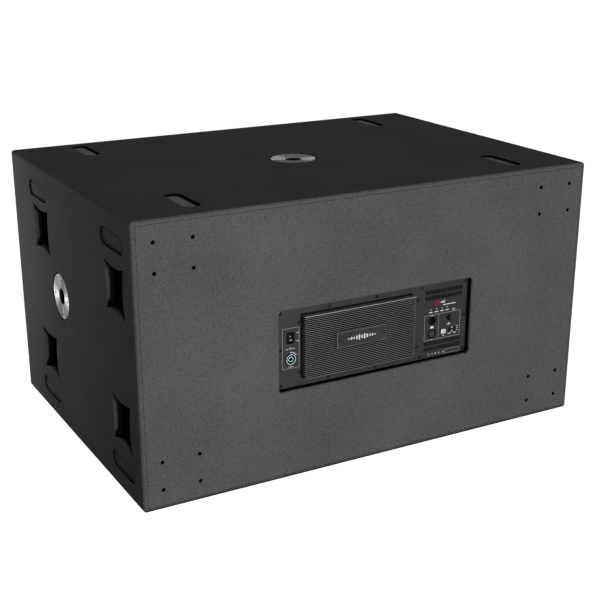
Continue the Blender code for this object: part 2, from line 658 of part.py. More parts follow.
def make_nameplate():
    """A blank bevelled plate across the tips of the fins."""
    width, thickness, height = NAMEPLATE_SIZE
    back = PLATE_Y - FIN_HEIGHT - GAP
    outline = rounded_rectangle((AMP_X + NAMEPLATE_AT[0], AMP_Z + NAMEPLATE_AT[1]), width, height,
                                0.0015, 1)
    bevel = 0.0008
    rings = ((outline, back), (outline, back - thickness + bevel),
             (grown(outline, -bevel), back - thickness))
    shape = loft([[on_axis("Y", u, v, y) for u, v in ring] for ring, y in rings])
    add_object("nameplate", shape, "nameplate_aluminium")


def make_circuit_boards():
    """The amplifier board with its tall parts, and the board behind the sockets."""
    board_at, board_size, front = (-0.045, 0.0), (0.262, 0.128), 0.024
    board = add_object("circuit_board", plate_box(board_at, board_size, front, front + 0.002),
                       "circuit_green")
    seated = front + 0.001
    blocks = [plate_box((-0.135, -0.020), (0.060, 0.070), seated, 0.070),
              plate_box((0.055, 0.025), (0.030, 0.050), seated, 0.046)]
    blocks += [
        turned([(0, 0), (0.015, 0), (0.015, 0.048), (0, 0.048)], 12, "Y", on_plate(at, PLATE_Y + seated))
        for at in ((-0.070, 0.030), (-0.030, 0.030), (-0.070, -0.030), (-0.030, -0.030))
    ]
    boolean(board, "UNION", together(*blocks))
    input_board = plate_box((0.172, -0.018), (0.085, 0.075), 0.0245, 0.0261)
    add_object("input_board", input_board, "circuit_green")


def make_amp_chamber():
    """A plywood box behind the rear panel; its front rim carries the plate's screws."""
    front = REAR_Y + WALL + GAP

    def ring(half_x, half_z, sunk):
        outline = rectangle(AMP_X - half_x, AMP_Z - half_z, AMP_X + half_x, AMP_Z + half_z)
        return [on_axis("Y", u, v, front + sunk) for u, v in outline]

    inner_x, inner_z = CHAMBER_HALF_X - CHAMBER_WALL, CHAMBER_HALF_Z - CHAMBER_WALL
    shape = loft([
        ring(inner_x, inner_z, CHAMBER_DEPTH - CHAMBER_WALL), ring(inner_x, inner_z, CHAMBER_WALL),
        ring(CHAMBER_MOUTH_X, CHAMBER_MOUTH_Z, CHAMBER_WALL), ring(CHAMBER_MOUTH_X, CHAMBER_MOUTH_Z, 0),
        ring(CHAMBER_HALF_X, CHAMBER_HALF_Z, 0), ring(CHAMBER_HALF_X, CHAMBER_HALF_Z, CHAMBER_DEPTH),
    ])
    add_object("amp_chamber", shape, "raw_plywood")


def make_fan():
    """An 80 mm fan that draws air in at the vents and blows it across the board."""
    centre = (AMP_X + FAN_AT_X, PLATE_Y + 0.075, AMP_Z)
    start, end = centre[0] - FAN_THICKNESS / 2, centre[0] + FAN_THICKNESS / 2
    face = (start, *centre[1:])
    outline = rounded_rectangle(centre[1:], 2 * FAN_HALF, 2 * FAN_HALF, 0.004, 1)
    frame = add_object("fan_frame", prism(outline, "X", start, end), "black_plastic")
    boss_radius, boss_height, past = 0.017, 0.004, 0.001
    tunnel = [(0, boss_height), (boss_radius, boss_height), (boss_radius, -past), (FAN_BORE, -past),
              (FAN_BORE, FAN_THICKNESS + past), (0, FAN_THICKNESS + past)]
    boolean(frame, "DIFFERENCE", turned(tunnel, COARSE, "X", face))
    half_strut, strut_reach = 0.003, FAN_BORE + 0.0015
    strut = rectangle(centre[1] - strut_reach, centre[2] - half_strut,
                      centre[1] + strut_reach, centre[2] + half_strut)
    boolean(frame, "UNION", prism(strut, "X", start + 0.0005, start + 0.0035))
    hub_radius, hub_start, hub_end = 0.015, 0.0055, 0.024
    hub = turned([(0, hub_start), (hub_radius, hub_start), (hub_radius, hub_end), (0, hub_end)],
                 COARSE, "X", face)
    rotor = add_object("fan_rotor", hub, "black_plastic", origin=centre)
    boolean(rotor, "UNION", together(*[fan_blade(centre, start, i) for i in range(FAN_BLADES)]))


def fan_blade(centre, start, index):
    """A flat blade pitched across the fan's thickness."""
    root, tip, half_chord, thin, pitch = 0.013, 0.0355, 0.008, 0.0012, math.radians(35)
    middle = start + 0.0145
    spin = Matrix.Rotation(math.tau * index / FAN_BLADES, 3, "X")
    rings = []
    for radius in (root, tip):
        ring = []
        for chord, thick in ((-1, -1), (1, -1), (1, 1), (-1, 1)):
            along, across = chord * half_chord, thick * thin / 2
            x = along * math.cos(pitch) - across * math.sin(pitch)
            y = along * math.sin(pitch) + across * math.cos(pitch)
            point = spin @ Vector((x, y, radius))
            ring.append((middle + point.x, centre[1] + point.y, centre[2] + point.z))
        rings.append(ring)
    return loft(rings)


def make_rocker_switch():
    """The bezel's cavity holds a paddle that rocks about a crosswise pin."""
    cavity_x, cavity_z = ROCKER_CAVITY
    bezel = add_object("rocker_bezel", plate_box(ROCKER_AT, BEZEL_SIZE, -0.0018, -GAP), "black_plastic")
    boolean(bezel, "UNION", plate_box(ROCKER_AT, BEZEL_NECK, -0.0010, 0.020))
    boolean(bezel, "DIFFERENCE", plate_box(ROCKER_AT, ROCKER_CAVITY, -0.003, 0.0175))
    pivot = on_plate(ROCKER_AT, PLATE_Y + 0.0045)
    half_x, half_z = cavity_x / 2 - 0.0006, cavity_z / 2 - 0.0010
    face, dip, back = -0.0062, -0.0036, 0.0050
    outline = [(face, half_z), (dip, 0), (face, -half_z), (0.0, -half_z + 0.0006), (back, -0.004),
               (back, 0.004), (0.0, half_z - 0.0006)]
    ends = [[(pivot[0] + x, pivot[1] + out, pivot[2] + z) for out, z in outline]
            for x in (-half_x, half_x)]
    paddle = add_object("rocker_paddle", loft(ends), "black_plastic", origin=pivot)
    paddle.rotation_euler.x = -ROCKER_TILT


def make_power_inlet():
    """A round locking mains inlet: a flange, a barrel and a ring-shaped socket round a core."""
    profile = [
        (0, -0.0010), (0.0046, -0.0010), (0.0046, 0.012), (0.0082, 0.012), (0.0082, -0.0022),
        (0.0128, -0.0022), (0.0128, -GAP), (0.0108, -GAP), (0.0108, 0.024), (0, 0.024),
    ]
    add_object("power_inlet", turned(profile, 20, "Y", on_plate(INLET_AT)), "inlet_blue", smooth=True)


def make_xlr_input():
    """A three-pole socket with a sprung release tab over it."""
    profile = [(0, -0.0012), (0.0106, -0.0012), (0.0106, 0.022), (0, 0.022)]
    centre = on_plate(XLR_IN_AT)
    body = add_object("xlr_input", turned(profile, 20, "Y", centre), "black_plastic", smooth=True)
    pole = [(0, -0.002), (0.0013, -0.002), (0.0013, 0.012), (0, 0.012)]
    cutters = [
        turned(pole, 8, "Y", on_plate((XLR_IN_AT[0] + 0.0035 * math.cos(turn),
                                       XLR_IN_AT[1] + 0.0035 * math.sin(turn) - 0.001)))
        for turn in (math.radians(90 + 120 * i) for i in range(3))
    ]
    tab_at = (XLR_IN_AT[0], XLR_IN_AT[1] + 0.0082)
    cutters.append(plate_box(tab_at, (0.0066, 0.0060), -0.002, 0.0080))
    boolean(body, "DIFFERENCE", together(*cutters))
    latch_at = (XLR_IN_AT[0], XLR_IN_AT[1] + 0.0080)
    add_object("xlr_latch", plate_box(latch_at, (0.0058, 0.0022), -0.0026, 0.0055), "motor_steel",
               origin=on_plate(latch_at))


def make_xlr_output():
    """A shell with three pins."""
    profile = [(0, 0.012), (0.0078, 0.012), (0.0078, -0.0016), (0.0096, -0.0016), (0.0096, 0.022),
               (0, 0.022)]
    shell = add_object("xlr_output", turned(profile, 20, "Y", on_plate(XLR_OUT_AT)), "black_plastic",
                       smooth=True)
    pin = [(0, 0.001), (0.0012, 0.001), (0.0012, 0.013), (0, 0.013)]
    pins = [
        turned(pin, 8, "Y", on_plate((XLR_OUT_AT[0] + 0.0038 * math.cos(turn),
                                      XLR_OUT_AT[1] + 0.0038 * math.sin(turn))))
        for turn in (math.radians(-90 + 120 * i) for i in range(3))
    ]
    boolean(shell, "UNION", together(*pins))


def make_knob():
    """The knob and its shaft turn together; a groove in its face is the pointer."""
    profile = [(0, -0.0100), (0.0054, -0.0100), (0.0058, -0.0094), (0.0064, -0.0010), (0.0030, -0.0010),
               (0.0030, 0.0120), (0, 0.0120)]
    centre = on_plate(KNOB_AT)
    knob = add_object("gain_knob", turned(profile, 20, "Y", centre), "black_plastic", origin=centre,
                      smooth=True)
    groove = plate_box((KNOB_AT[0], KNOB_AT[1] + 0.0042), (0.0012, 0.0050), -0.011, -0.0095)
    boolean(knob, "DIFFERENCE", groove)


def make_usb_socket():
    body = add_object("usb_socket", plate_box(USB_AT, (0.0125, 0.0106), -0.0008, 0.0150), "usb_white")
    boolean(body, "DIFFERENCE", plate_box(USB_AT, (0.0090, 0.0076), -0.002, 0.0100))
    boolean(body, "UNION", plate_box(USB_AT, (0.0056, 0.0032), 0.0005, 0.0110))


def make_slider(name, at, rest):
    """A nub in a slot of the plate, on a carrier that slides behind it. Rest is its height in the slot."""
    carrier = (0.0100, 0.0150)
    shape = plate_box((at[0], at[1] + rest), carrier, PLATE_THICKNESS + GAP, PLATE_THICKNESS + 0.0018)
    obj = add_object(name, shape, "black_plastic", origin=on_plate((at[0], at[1] + rest)))
    boolean(obj, "UNION", plate_box((at[0], at[1] + rest), (0.0044, 0.0030), -0.0018,
                                    PLATE_THICKNESS + 0.001))


# ------------------------------------------------------------------ assembly
def main():
    clear_scene()
    make_materials()
    make_top()
    make_bottom()
    make_side("left_panel", LEFT)
    make_side("right_panel", RIGHT)
    make_side_feet()
    make_handle_cups()
    make_rear()
    make_baffle()
    make_port_duct()
    make_front_grille()
    make_pole_sockets()
    make_driver("left_driver", LEFT)
    make_driver("right_driver", RIGHT)
    make_amp_plate()
    make_heatsink()
    make_nameplate()
    make_circuit_boards()
    make_amp_chamber()
    make_fan()
    make_rocker_switch()
    make_power_inlet()
    make_xlr_input()
    make_xlr_output()
    make_knob()
    make_usb_socket()
    make_slider("phase_slider", PHASE_AT, SLIDER_TRAVEL)
    make_slider("filter_slider", FILTER_AT, 0.0)


main()
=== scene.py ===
"""The finished look of a powered double 18-inch subwoofer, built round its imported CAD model.

All lengths are metres. The amplifier side faces -Y, the driver side faces +Y and +Z is up.
Places come from the CAD nodes' boxes; the constants below are details that the CAD leaves plain.
"""

import json
import math

import bmesh
import bpy
from mathutils import Matrix, Vector


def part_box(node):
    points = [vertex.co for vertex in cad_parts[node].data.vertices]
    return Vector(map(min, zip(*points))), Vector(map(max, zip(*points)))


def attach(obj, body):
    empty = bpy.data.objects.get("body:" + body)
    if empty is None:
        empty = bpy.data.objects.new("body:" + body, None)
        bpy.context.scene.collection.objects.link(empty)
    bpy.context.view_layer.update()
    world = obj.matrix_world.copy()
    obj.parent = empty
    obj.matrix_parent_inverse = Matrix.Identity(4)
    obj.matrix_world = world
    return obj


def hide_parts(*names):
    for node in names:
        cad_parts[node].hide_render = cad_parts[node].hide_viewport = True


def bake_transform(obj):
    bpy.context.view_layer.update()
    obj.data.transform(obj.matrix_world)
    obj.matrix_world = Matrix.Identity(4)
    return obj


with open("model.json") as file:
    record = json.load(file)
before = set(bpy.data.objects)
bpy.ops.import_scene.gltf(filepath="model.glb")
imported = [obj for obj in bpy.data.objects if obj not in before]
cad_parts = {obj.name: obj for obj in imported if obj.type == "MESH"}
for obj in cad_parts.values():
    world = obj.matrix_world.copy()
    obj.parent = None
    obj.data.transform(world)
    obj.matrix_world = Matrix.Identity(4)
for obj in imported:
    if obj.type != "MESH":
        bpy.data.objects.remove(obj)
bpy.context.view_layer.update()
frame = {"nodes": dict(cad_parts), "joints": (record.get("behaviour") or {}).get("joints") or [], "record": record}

# ------------------------------------------------------------------ dimensions
EDGE_RADIUS = 0.007
REBATE_RIM, PANEL_ROUND = 0.0085, 0.0008
SLOT_SIZE, SLOT_LIP, SLOT_FLOOR = (0.124, 0.036), 0.0008, 0.002
SLOT_DEPTH = {"Z": 0.0055, "X": 0.0035}
PALE_PATCH_SIZE = (0.114, 0.026)
HANDLE_HALF, HANDLE_SAG, HANDLE_LIP = 0.049, 0.0065, 0.004
HANDLE_PAINTED = 0.009  # depth of bare painted wall between the face and a hand hole's liner
CUP_INNER, CUP_CORNER = 0.0555, 0.016
RECESS_RADIUS, RECESS_DEPTH = 0.0532, 0.0045
SOCKET_BORE, SOCKET_HOLE, SOCKET_SCREW_CIRCLE, SOCKET_SCREW = 0.018, 0.0225, 0.0395, 0.0036
DRIVER_SCREWS, DRIVER_SCREW_CIRCLE = 8, 0.2225
CASTOR_PITCH, CASTOR_HOLE = (0.080, 0.060), 0.004
OPENING_MARGIN, OPENING_LIP = 0.002, 0.005
PLATE_CORNER = 0.0055

# On the amplifier plate, from its centre: x to the right and z up, as seen from behind.
PLATE_SCREWS = [(x, z) for x in (-0.229, -0.1145, 0.0, 0.1145, 0.229) for z in (-0.0785, 0.0785)]
PLATE_SCREWS += [(-0.229, 0.0), (0.229, 0.0), (-0.1855, 0.054), (-0.1855, -0.054), (0.105, 0.054),
                 (0.105, -0.054)]
HEAT_WINDOW = (-0.1812, -0.0690, 0.0912, 0.0710)
FIN_COUNT, FIN_PITCH, FIN_THICKNESS = 34, 0.00405, 0.0013
VENT_COUNT, VENT_FIRST, VENT_PITCH, VENT_SIZE = 17, 0.1272, 0.00574, (0.0041, 0.0092)
VENT_ROWS = (0.0646, 0.0516, -0.0525, -0.0656)
LIGHTS = (0.1406, 0.1556, 0.1700, 0.1837)
LIGHTS_Z = 0.0247
NAMEPLATE_BARS = (0.0032, 0.0060, 0.0044, 0.0085, 0.0115, 0.0070, 0.0115, 0.0085, 0.0044, 0.0060, 0.0032)
SLIDER_SLOT = (0.0052, 0.0080)
GRILLE_PITCH, GRILLE_WEB, GRILLE_SHEET, GRILLE_RIM = 0.0112, 0.0026, 0.0012, 0.009

FLOOR_GLOW, SKY_GLOW = 0.033, 0.08

PAST = 0.002  # how far a cutter reaches beyond what it cuts
SMOOTH_BELOW = math.radians(38)
ROUND = 96  # facets of a large turned piece


def middle(*corners):
    return (corners[0] + corners[1]) / 2


top_box, bottom_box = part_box("top_panel"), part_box("bottom_panel")
left_box, right_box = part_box("left_panel"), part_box("right_panel")
plate_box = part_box("amp_plate")
low = Vector((left_box[0].x, top_box[0].y, bottom_box[0].z))
high = Vector((right_box[1].x, top_box[1].y, top_box[1].z))
core = (low + high) / 2
wall = top_box[1].z - top_box[0].z
plate_centre = middle(*plate_box)
plate_face = plate_box[0].y


def flat(axis, point):
    """A point's two coordinates across an axis."""
    return tuple(value for i, value in enumerate(point) if "XYZ"[i] != axis)


def nodes_named(start):
    return [node for node in frame["nodes"] if node.startswith(start)]


def centre_across(axis, node):
    """The middle of a node's box, seen along an axis."""
    return flat(axis, middle(*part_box(node)))


# ------------------------------------------------------------------ materials
class Finish:
    """One material, with short calls for adding nodes to its Principled shader."""

    def __init__(self, name, colour, roughness, metallic=0.0):
        self.material = bpy.data.materials.new(name)
        self.material.use_nodes = True
        self.tree = self.material.node_tree
        self.shader = self.tree.nodes["Principled BSDF"]
        self.colour, self.roughness = colour, roughness
        self.set("Base Color", (*colour, 1))
        self.set("Roughness", roughness)
        self.set("Metallic", metallic)
        self.position = self.add("ShaderNodeTexCoord").outputs["Object"]

    def set(self, socket, value):
        self.connect(self.shader.inputs[socket], value)

    def connect(self, socket, value):
        if isinstance(value, bpy.types.NodeSocket):
            self.tree.links.new(value, socket)
        else:
            socket.default_value = value

    def add(self, kind, inputs=(), **settings):
        node = self.tree.nodes.new(kind)
        for key, value in settings.items():
            setattr(node, key, value)
        for key, value in dict(inputs).items():
            self.connect(node.inputs[key], value)
        return node

    def noise(self, scale, detail=3.0, stretch=(1, 1, 1), distortion=0.0):
        """Noise with features of about 1/scale metres, drawn out along an axis by a small stretch."""
        moved = self.add("ShaderNodeMapping", {"Vector": self.position, "Scale": stretch})
        return self.add("ShaderNodeTexNoise", {"Vector": moved.outputs[0], "Scale": scale,
                                               "Detail": detail, "Distortion": distortion}).outputs[0]

    def waves(self, scale, direction, distortion=0.0):
        node = self.add("ShaderNodeTexWave", {"Vector": self.position, "Scale": scale,
                                              "Distortion": distortion}, bands_direction=direction)
        return node.outputs[1]

    def remap(self, value, start, end, low_in=0.3, high_in=0.7):
        node = self.add("ShaderNodeMapRange", {"Value": value, "From Min": low_in, "From Max": high_in,
                                               "To Min": start, "To Max": end})
        return node.outputs[0]

    def math(self, operation, first, second):
        node = self.add("ShaderNodeMath", operation=operation)
        self.connect(node.inputs[0], first)
        self.connect(node.inputs[1], second)
        return node.outputs[0]

    def mix(self, first, second, share):
        """The given share of the first value, and the rest of the second."""
        return self.math("ADD", self.math("MULTIPLY", first, share),
                         self.math("MULTIPLY", second, 1 - share))

    def scale_colour(self, colour, factor):
        node = self.add("ShaderNodeVectorMath", {0: colour, "Scale": factor}, operation="SCALE")
        self.set("Base Color", node.outputs[0])

    def vary_colour(self, value, darkest, lightest):
        """Scales the base colour between two factors by a value."""
        self.scale_colour(self.colour, self.remap(value, darkest, lightest))

    def vary_roughness(self, value, spread):
        self.set("Roughness", self.remap(value, self.roughness - spread, self.roughness + spread))

    def paint_shade_in_hollows(self, reach, darkest, closed=0.55, open_air=0.95):
        """Paints shade: darkens the colour and dulls the sheen where other surfaces stand within reach, as in
        slots and bores.
        """
        shade = self.add("ShaderNodeAmbientOcclusion", {"Distance": reach}, samples=8).outputs["AO"]
        factor = self.remap(shade, darkest, 1.0, closed, open_air)
        for name in ("Specular IOR Level", "Metallic"):
            level = self.shader.inputs[name]
            self.connect(level, self.math("MULTIPLY", factor, level.default_value))
        self.scale_colour(self.shader.inputs["Base Color"].links[0].from_socket, factor)

    def bump(self, height, distance, strength=1.0):
        node = self.add("ShaderNodeBump", {"Height": height, "Distance": distance, "Strength": strength})
        self.set("Normal", node.outputs[0])


def grained(name, colour, roughness, metallic, size, depth, tint=0.12, stretch=(1, 1, 1)):
    """Moulded, coated or brushed surfaces: a grain of the given size over slow cloudy variation."""
    colour = colour if isinstance(colour, tuple) else (colour, colour, colour)
    made = Finish(name, colour, roughness, metallic)
    grain = made.noise(1 / size, 2.0, stretch)
    cloud = made.noise(14.0, 3.0)
    made.vary_colour(made.mix(grain, cloud, 0.6), 1 - tint, 1 + tint)
    made.vary_roughness(made.mix(grain, cloud, 0.4), 0.08)
    made.bump(grain, depth)
    return made


def cabinet_paint():
    """Sprayed texture paint: rounded grains about two millimetres across, with finer grit between."""
    made = Finish("cabinet_paint", (0.080, 0.080, 0.0804), 0.89)
    made.set("Specular IOR Level", 0.08)
    grains = made.noise(240, 3.0)
    grit = made.noise(900, 2.0)
    cloud = made.noise(5.0, 2.0)
    speckle = made.mix(grains, grit, 0.65)
    made.vary_colour(made.mix(speckle, cloud, 0.8), 0.55, 1.45)
    # Painted shade: the paint goes dark in slots, hand holes, bores and other recesses.
    made.paint_shade_in_hollows(0.020, 0.03, 0.72, 0.97)
    made.vary_roughness(speckle, 0.09)
    made.bump(speckle, 0.0008, 0.9)
    return made.material


def turned_aluminium(axis):
    """Lathe-turned metal: fine rings round the axis, with the highlight drawn out across them."""
    made = Finish(f"turned_aluminium_{axis}".lower(), (0.70, 0.70, 0.71), 0.58, 0.75)
    others = [i for i in range(3) if "XYZ"[i] != axis]
    generated = made.tree.nodes.new("ShaderNodeTexCoord").outputs["Generated"]
    centred = made.add("ShaderNodeVectorMath", {0: generated, 1: (0.5, 0.5, 0.5)}, operation="SUBTRACT")
    flat = [0.0 if "XYZ"[i] == axis else 1.0 for i in range(3)]
    spoke = made.add("ShaderNodeVectorMath", {0: centred.outputs[0], 1: flat}, operation="MULTIPLY")
    radius = made.add("ShaderNodeVectorMath", {0: spoke.outputs[0]}, operation="LENGTH").outputs["Value"]
    ring_place = made.add("ShaderNodeCombineXYZ", {"X": radius}).outputs[0]
    rings = made.add("ShaderNodeTexNoise", {"Vector": ring_place, "Scale": 160.0,
                                            "Detail": 4.0}).outputs[0]
    parts = made.add("ShaderNodeSeparateXYZ", {0: spoke.outputs[0]}).outputs
    # Painted highlight and shade: the colour rises and falls in four wedges round the axis, two lighter and two
    # darker.
    bearing = made.math("ARCTAN2", parts[others[1]], parts[others[0]])
    wedge_wave = made.math("SINE", made.math("MULTIPLY", bearing, 2.0), 0.0)
    painted_wedges = made.remap(wedge_wave, 0.82, 1.18, -1.0, 1.0)
    tone = made.math("MULTIPLY", made.remap(rings, 0.86, 1.14), painted_wedges)
    made.scale_colour(made.colour, tone)
    # Painted shade down in the bore and in the dish's other hollows.
    made.paint_shade_in_hollows(0.05, 0.01, 0.58, 0.88)
    made.vary_roughness(rings, 0.05)
    made.set("Anisotropic", 0.93)
    tangent = made.add("ShaderNodeTangent", direction_type="RADIAL", axis=axis)
    made.set("Tangent", tangent.outputs[0])
    made.bump(rings, 0.00002)
    return made.material


def woven(name, colour, roughness, thread):
    """Cloth from two crossing sets of threads."""
    made = Finish(name, colour, roughness)
    scale = 1 / thread / 6.2832
    warp = made.waves(scale, "X", distortion=0.4)
    weft = made.waves(scale, "Z", distortion=0.4)
    cloth = made.math("MULTIPLY", warp, weft)
    made.vary_colour(made.mix(cloth, made.noise(60.0), 0.7), 0.7, 1.35)
    made.bump(cloth, thread / 4)
    made.set("Sheen Weight", 0.25)
    return made.material


def pressed_paper():
    """Cone pulp: short crossing fibres and slow density changes."""
    made = Finish("cone_paper", (0.022, 0.022, 0.022), 0.82)
    fibres = made.math("MAXIMUM", made.noise(900, 5.0, (1, 1, 0.15), 1.2),
                       made.noise(900, 5.0, (0.15, 1, 1), 1.2))
    made.vary_colour(made.mix(fibres, made.noise(30.0), 0.7), 0.6, 1.7)
    made.vary_roughness(fibres, 0.1)
    made.bump(fibres, 0.00025)
    return made.material


def moulded_black():
    """Satin black plastic, with painted shade that takes it fully dark in its sockets and gaps."""
    made = grained("black_plastic", (0.010, 0.010, 0.0105), 0.50, 0.0, 0.0005, 0.00002)
    made.set("Specular IOR Level", 0.25)
    made.paint_shade_in_hollows(0.006, 0.10, 0.45, 0.90)
    return made.material


def dull_black(name):
    """Black plastic with next to no sheen, for cups, switches and what shows behind openings, such as the pads
    that stand in for the shade behind the vents.
    """
    made = grained(name, 0.006, 0.70, 0.0, 0.0009, 0.00006)
    made.set("Specular IOR Level", 0.08)
    return made.material


def finned_aluminium():
    """Black anodising, with painted shade that darkens the gaps between the fins and leaves their tips bright."""
    made = grained("black_anodised", (0.190, 0.190, 0.192), 0.45, 0.3, 0.0006, 0.00002,
                   stretch=(0.08, 1, 1))
    made.paint_shade_in_hollows(0.010, 0.01, 0.42, 0.92)
    return made.material


def wound_copper():
    made = Finish("coil_copper", (0.60, 0.26, 0.12), 0.35, 0.9)
    turns = made.waves(1 / 0.0009 / 6.2832 * 3.1416, "Y")
    made.vary_colour(turns, 0.55, 1.2)
    made.bump(turns, 0.0002)
    return made.material


def plywood():
    """Birch plies that show as thin layers on cut edges."""
    made = Finish("raw_plywood", (0.40, 0.28, 0.16), 0.68)
    plies = made.waves(1 / 0.003 / 6.2832, "X", distortion=0.3)
    figure = made.noise(260, 4.0, (1, 0.06, 1), 0.4)
    made.vary_colour(made.mix(plies, figure, 0.35), 0.70, 1.25)
    made.vary_roughness(figure, 0.1)
    made.bump(figure, 0.00015)
    return made.material


def circuit_mask():
    made = Finish("circuit_green", (0.018, 0.11, 0.045), 0.35)
    tracks = made.add("ShaderNodeTexBrick", {"Vector": made.position, "Scale": 90.0}).outputs["Fac"]
    made.vary_colour(tracks, 0.8, 1.5)
    made.vary_roughness(made.noise(400), 0.1)
    made.bump(tracks, 0.00005)
    return made.material


def glowing(name, colour, strength):
    made = grained(name, colour, 0.25, 0.0, 0.0008, 0.00001)
    made.set("Emission Color", (*colour, 1))
    made.set("Emission Strength", strength)
    return made.material


# Colour or grey level, roughness, metallic, grain size, bump depth, tint and stretch of the grain.
GRAINED = {
    "rubber": (0.022, 0.78, 0.0, 0.0012, 0.00012, 0.25),
    "grille_steel": ((0.016, 0.016, 0.017), 0.48, 0.2, 0.0008, 0.00005),
    "plate_paint": ((0.0280, 0.0261, 0.0265), 0.46, 0.1, 0.0007, 0.00003),
    "pale_floor_paint": (0.19, 0.75, 0.0, 0.0035, 0.0003, 0.45),
    # Pale grey for the painted highlight on the top fin's tip.
    "fin_tip_highlight": (0.50, 0.45, 0.4, 0.0006, 0.00001, 0.12, (0.05, 1, 1)),
    "nameplate_aluminium": ((0.105, 0.101, 0.103), 0.36, 0.85, 0.0005, 0.00003, 0.12, (0.03, 1, 1)),
    "socket_grey": ((0.045, 0.045, 0.046), 0.45, 0.0, 0.0005, 0.00002),
    # Pale grey for the painted highlight on the nameplate's bevel.
    "bevel_highlight": (0.23, 0.45, 0.4, 0.0006, 0.00001, 0.12, (0.05, 1, 1)),
    "inlet_blue": ((0.56, 0.80, 0.85), 0.35, 0.0, 0.0005, 0.00001),
    "usb_white": ((0.82, 0.82, 0.81), 0.42, 0.0, 0.0005, 0.00001, 0.04),
    "ink_white": ((0.62, 0.62, 0.61), 0.55, 0.0, 0.0004, 0.00001, 0.08),
    "ink_grey": ((0.33, 0.32, 0.32), 0.55, 0.0, 0.0004, 0.00001, 0.08),
    "ink_red": ((0.155, 0.002, 0.024), 0.60, 0.0, 0.0004, 0.00001, 0.08),
    "basket_paint": ((0.022, 0.022, 0.023), 0.45, 0.4, 0.0008, 0.00006),
    "ferrite": ((0.045, 0.045, 0.05), 0.62, 0.1, 0.0015, 0.0001, 0.2),
    "motor_steel": ((0.42, 0.42, 0.43), 0.30, 1.0, 0.0005, 0.00001, 0.12, (1, 1, 0.05)),
    "screw_black": ((0.020, 0.020, 0.021), 0.30, 0.8, 0.0004, 0.00001),
}
MATERIALS = {name: grained(name, *values).material for name, values in GRAINED.items()}
MATERIALS |= {
    "cabinet_paint": cabinet_paint(),
    "raw_plywood": plywood(),
    "cup_plastic": dull_black("cup_plastic"),
    "dull_plastic": dull_black("dull_plastic"),
    "black_anodised": finned_aluminium(),
    "black_plastic": moulded_black(),
    "circuit_green": circuit_mask(),
    "cone_paper": pressed_paper(),
    "surround_cloth": woven("surround_cloth", (0.016, 0.016, 0.016), 0.88, 0.0011),
    "spider_cloth": woven("spider_cloth", (0.42, 0.26, 0.10), 0.85, 0.0012),
    "coil_copper": wound_copper(),
    "turned_x": turned_aluminium("X"),
    "turned_z": turned_aluminium("Z"),
    "light_green": glowing("light_green", (0.46, 0.52, 0.46), 0.10),
    "light_red": glowing("light_red", (0.54, 0.44, 0.43), 0.10),
}


# ------------------------------------------------------------------ outlines
def circle(centre, radius, steps, start=0.0):
    """Points evenly spaced round a circle, the first at the start angle in degrees."""
    turns = [math.radians(start + 360 * i / steps) for i in range(steps)]
    return [(centre[0] + radius * math.cos(turn), centre[1] + radius * math.sin(turn)) for turn in turns]


def rounded_rectangle(centre, width, height, radius, steps=6):
    points = []
    for corner in range(4):
        across = 1 if corner in (0, 3) else -1
        up = 1 if corner in (0, 1) else -1
        hub_u = centre[0] + across * (width / 2 - radius)
        hub_v = centre[1] + up * (height / 2 - radius)
        for step in range(steps + 1):
            angle = math.radians(90) * (corner + step / steps)
            points.append((hub_u + radius * math.cos(angle), hub_v + radius * math.sin(angle)))
    return points


def stadium(centre, length, width, turned_up=False, steps=20):
    """A slot with round ends along u, or along v if turned up."""
    radius = width / 2
    points = []
    for end, turn in ((1, -90), (-1, 90)):
        hub = end * (length / 2 - radius)
        for step in range(steps + 1):
            angle = math.radians(turn + 180 * step / steps)
            u, v = hub + radius * math.cos(angle), radius * math.sin(angle)
            u, v = (-v, u) if turned_up else (u, v)
            points.append((centre[0] + u, centre[1] + v))
    return points


def face_outline(node, radius, steps, inset=0.0):
    """A node's outline seen from behind, drawn in all round by the inset, with round corners."""
    start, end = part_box(node)
    centre = middle(start, end)
    return rounded_rectangle((centre.x, centre.z), end.x - start.x - 2 * inset,
                             end.z - start.z - 2 * inset, radius, steps)


def bowed_square(centre, half, sag):
    """A square whose four sides bow inwards, leaving pointed corners."""
    points, steps = [], 14
    for quarter in range(4):
        turn = Matrix.Rotation(math.radians(90) * quarter, 2)
        for step in range(steps):
            across = half * (1 - 2 * step / steps)
            point = turn @ Vector((across, half - sag * (1 - (across / half) ** 2)))
            points.append((centre[0] + point.x, centre[1] + point.y))
    return points


def grown(outline, distance):
    """The counter-clockwise outline moved outwards, square to its sides."""
    moved = []
    for i, here in enumerate(outline):
        before, after = Vector(outline[i - 1]), Vector(outline[(i + 1) % len(outline)])
        into, away = (Vector(here) - before).normalized(), (after - Vector(here)).normalized()
        normal = Vector((into.y + away.y, -into.x - away.x)).normalized()
        stretch = max(0.5, normal.dot(Vector((into.y, -into.x))))
        moved.append(tuple(Vector(here) + normal * distance / stretch))
    return moved


# ------------------------------------------------------------------ shapes
def on_axis(axis, u, v, along):
    return {"X": (along, u, v), "Y": (u, along, v), "Z": (u, v, along)}[axis]


def loft(rings, joined=False):
    """A closed body through rings of equal length: capped ends, or joined last to first."""
    shape = bmesh.new()
    corners = [[shape.verts.new(point) for point in ring] for ring in rings]
    count = len(corners[0])
    pairs = list(zip(corners, corners[1:]))
    if joined:
        pairs.append((corners[-1], corners[0]))
    for first, second in pairs:
        for i in range(count):
            j = (i + 1) % count
            shape.faces.new((first[i], first[j], second[j], second[i]))
    if not joined:
        shape.faces.new(corners[0])
        shape.faces.new(reversed(corners[-1]))
    return shape


def stack(outline, axis, start, direction, profile, joined=False):
    """Lofts an outline through (growth, depth) steps along an axis."""
    rings = [
        [on_axis(axis, u, v, start + direction * depth) for u, v in grown(outline, growth)]
        for growth, depth in profile
    ]
    return loft(rings, joined)


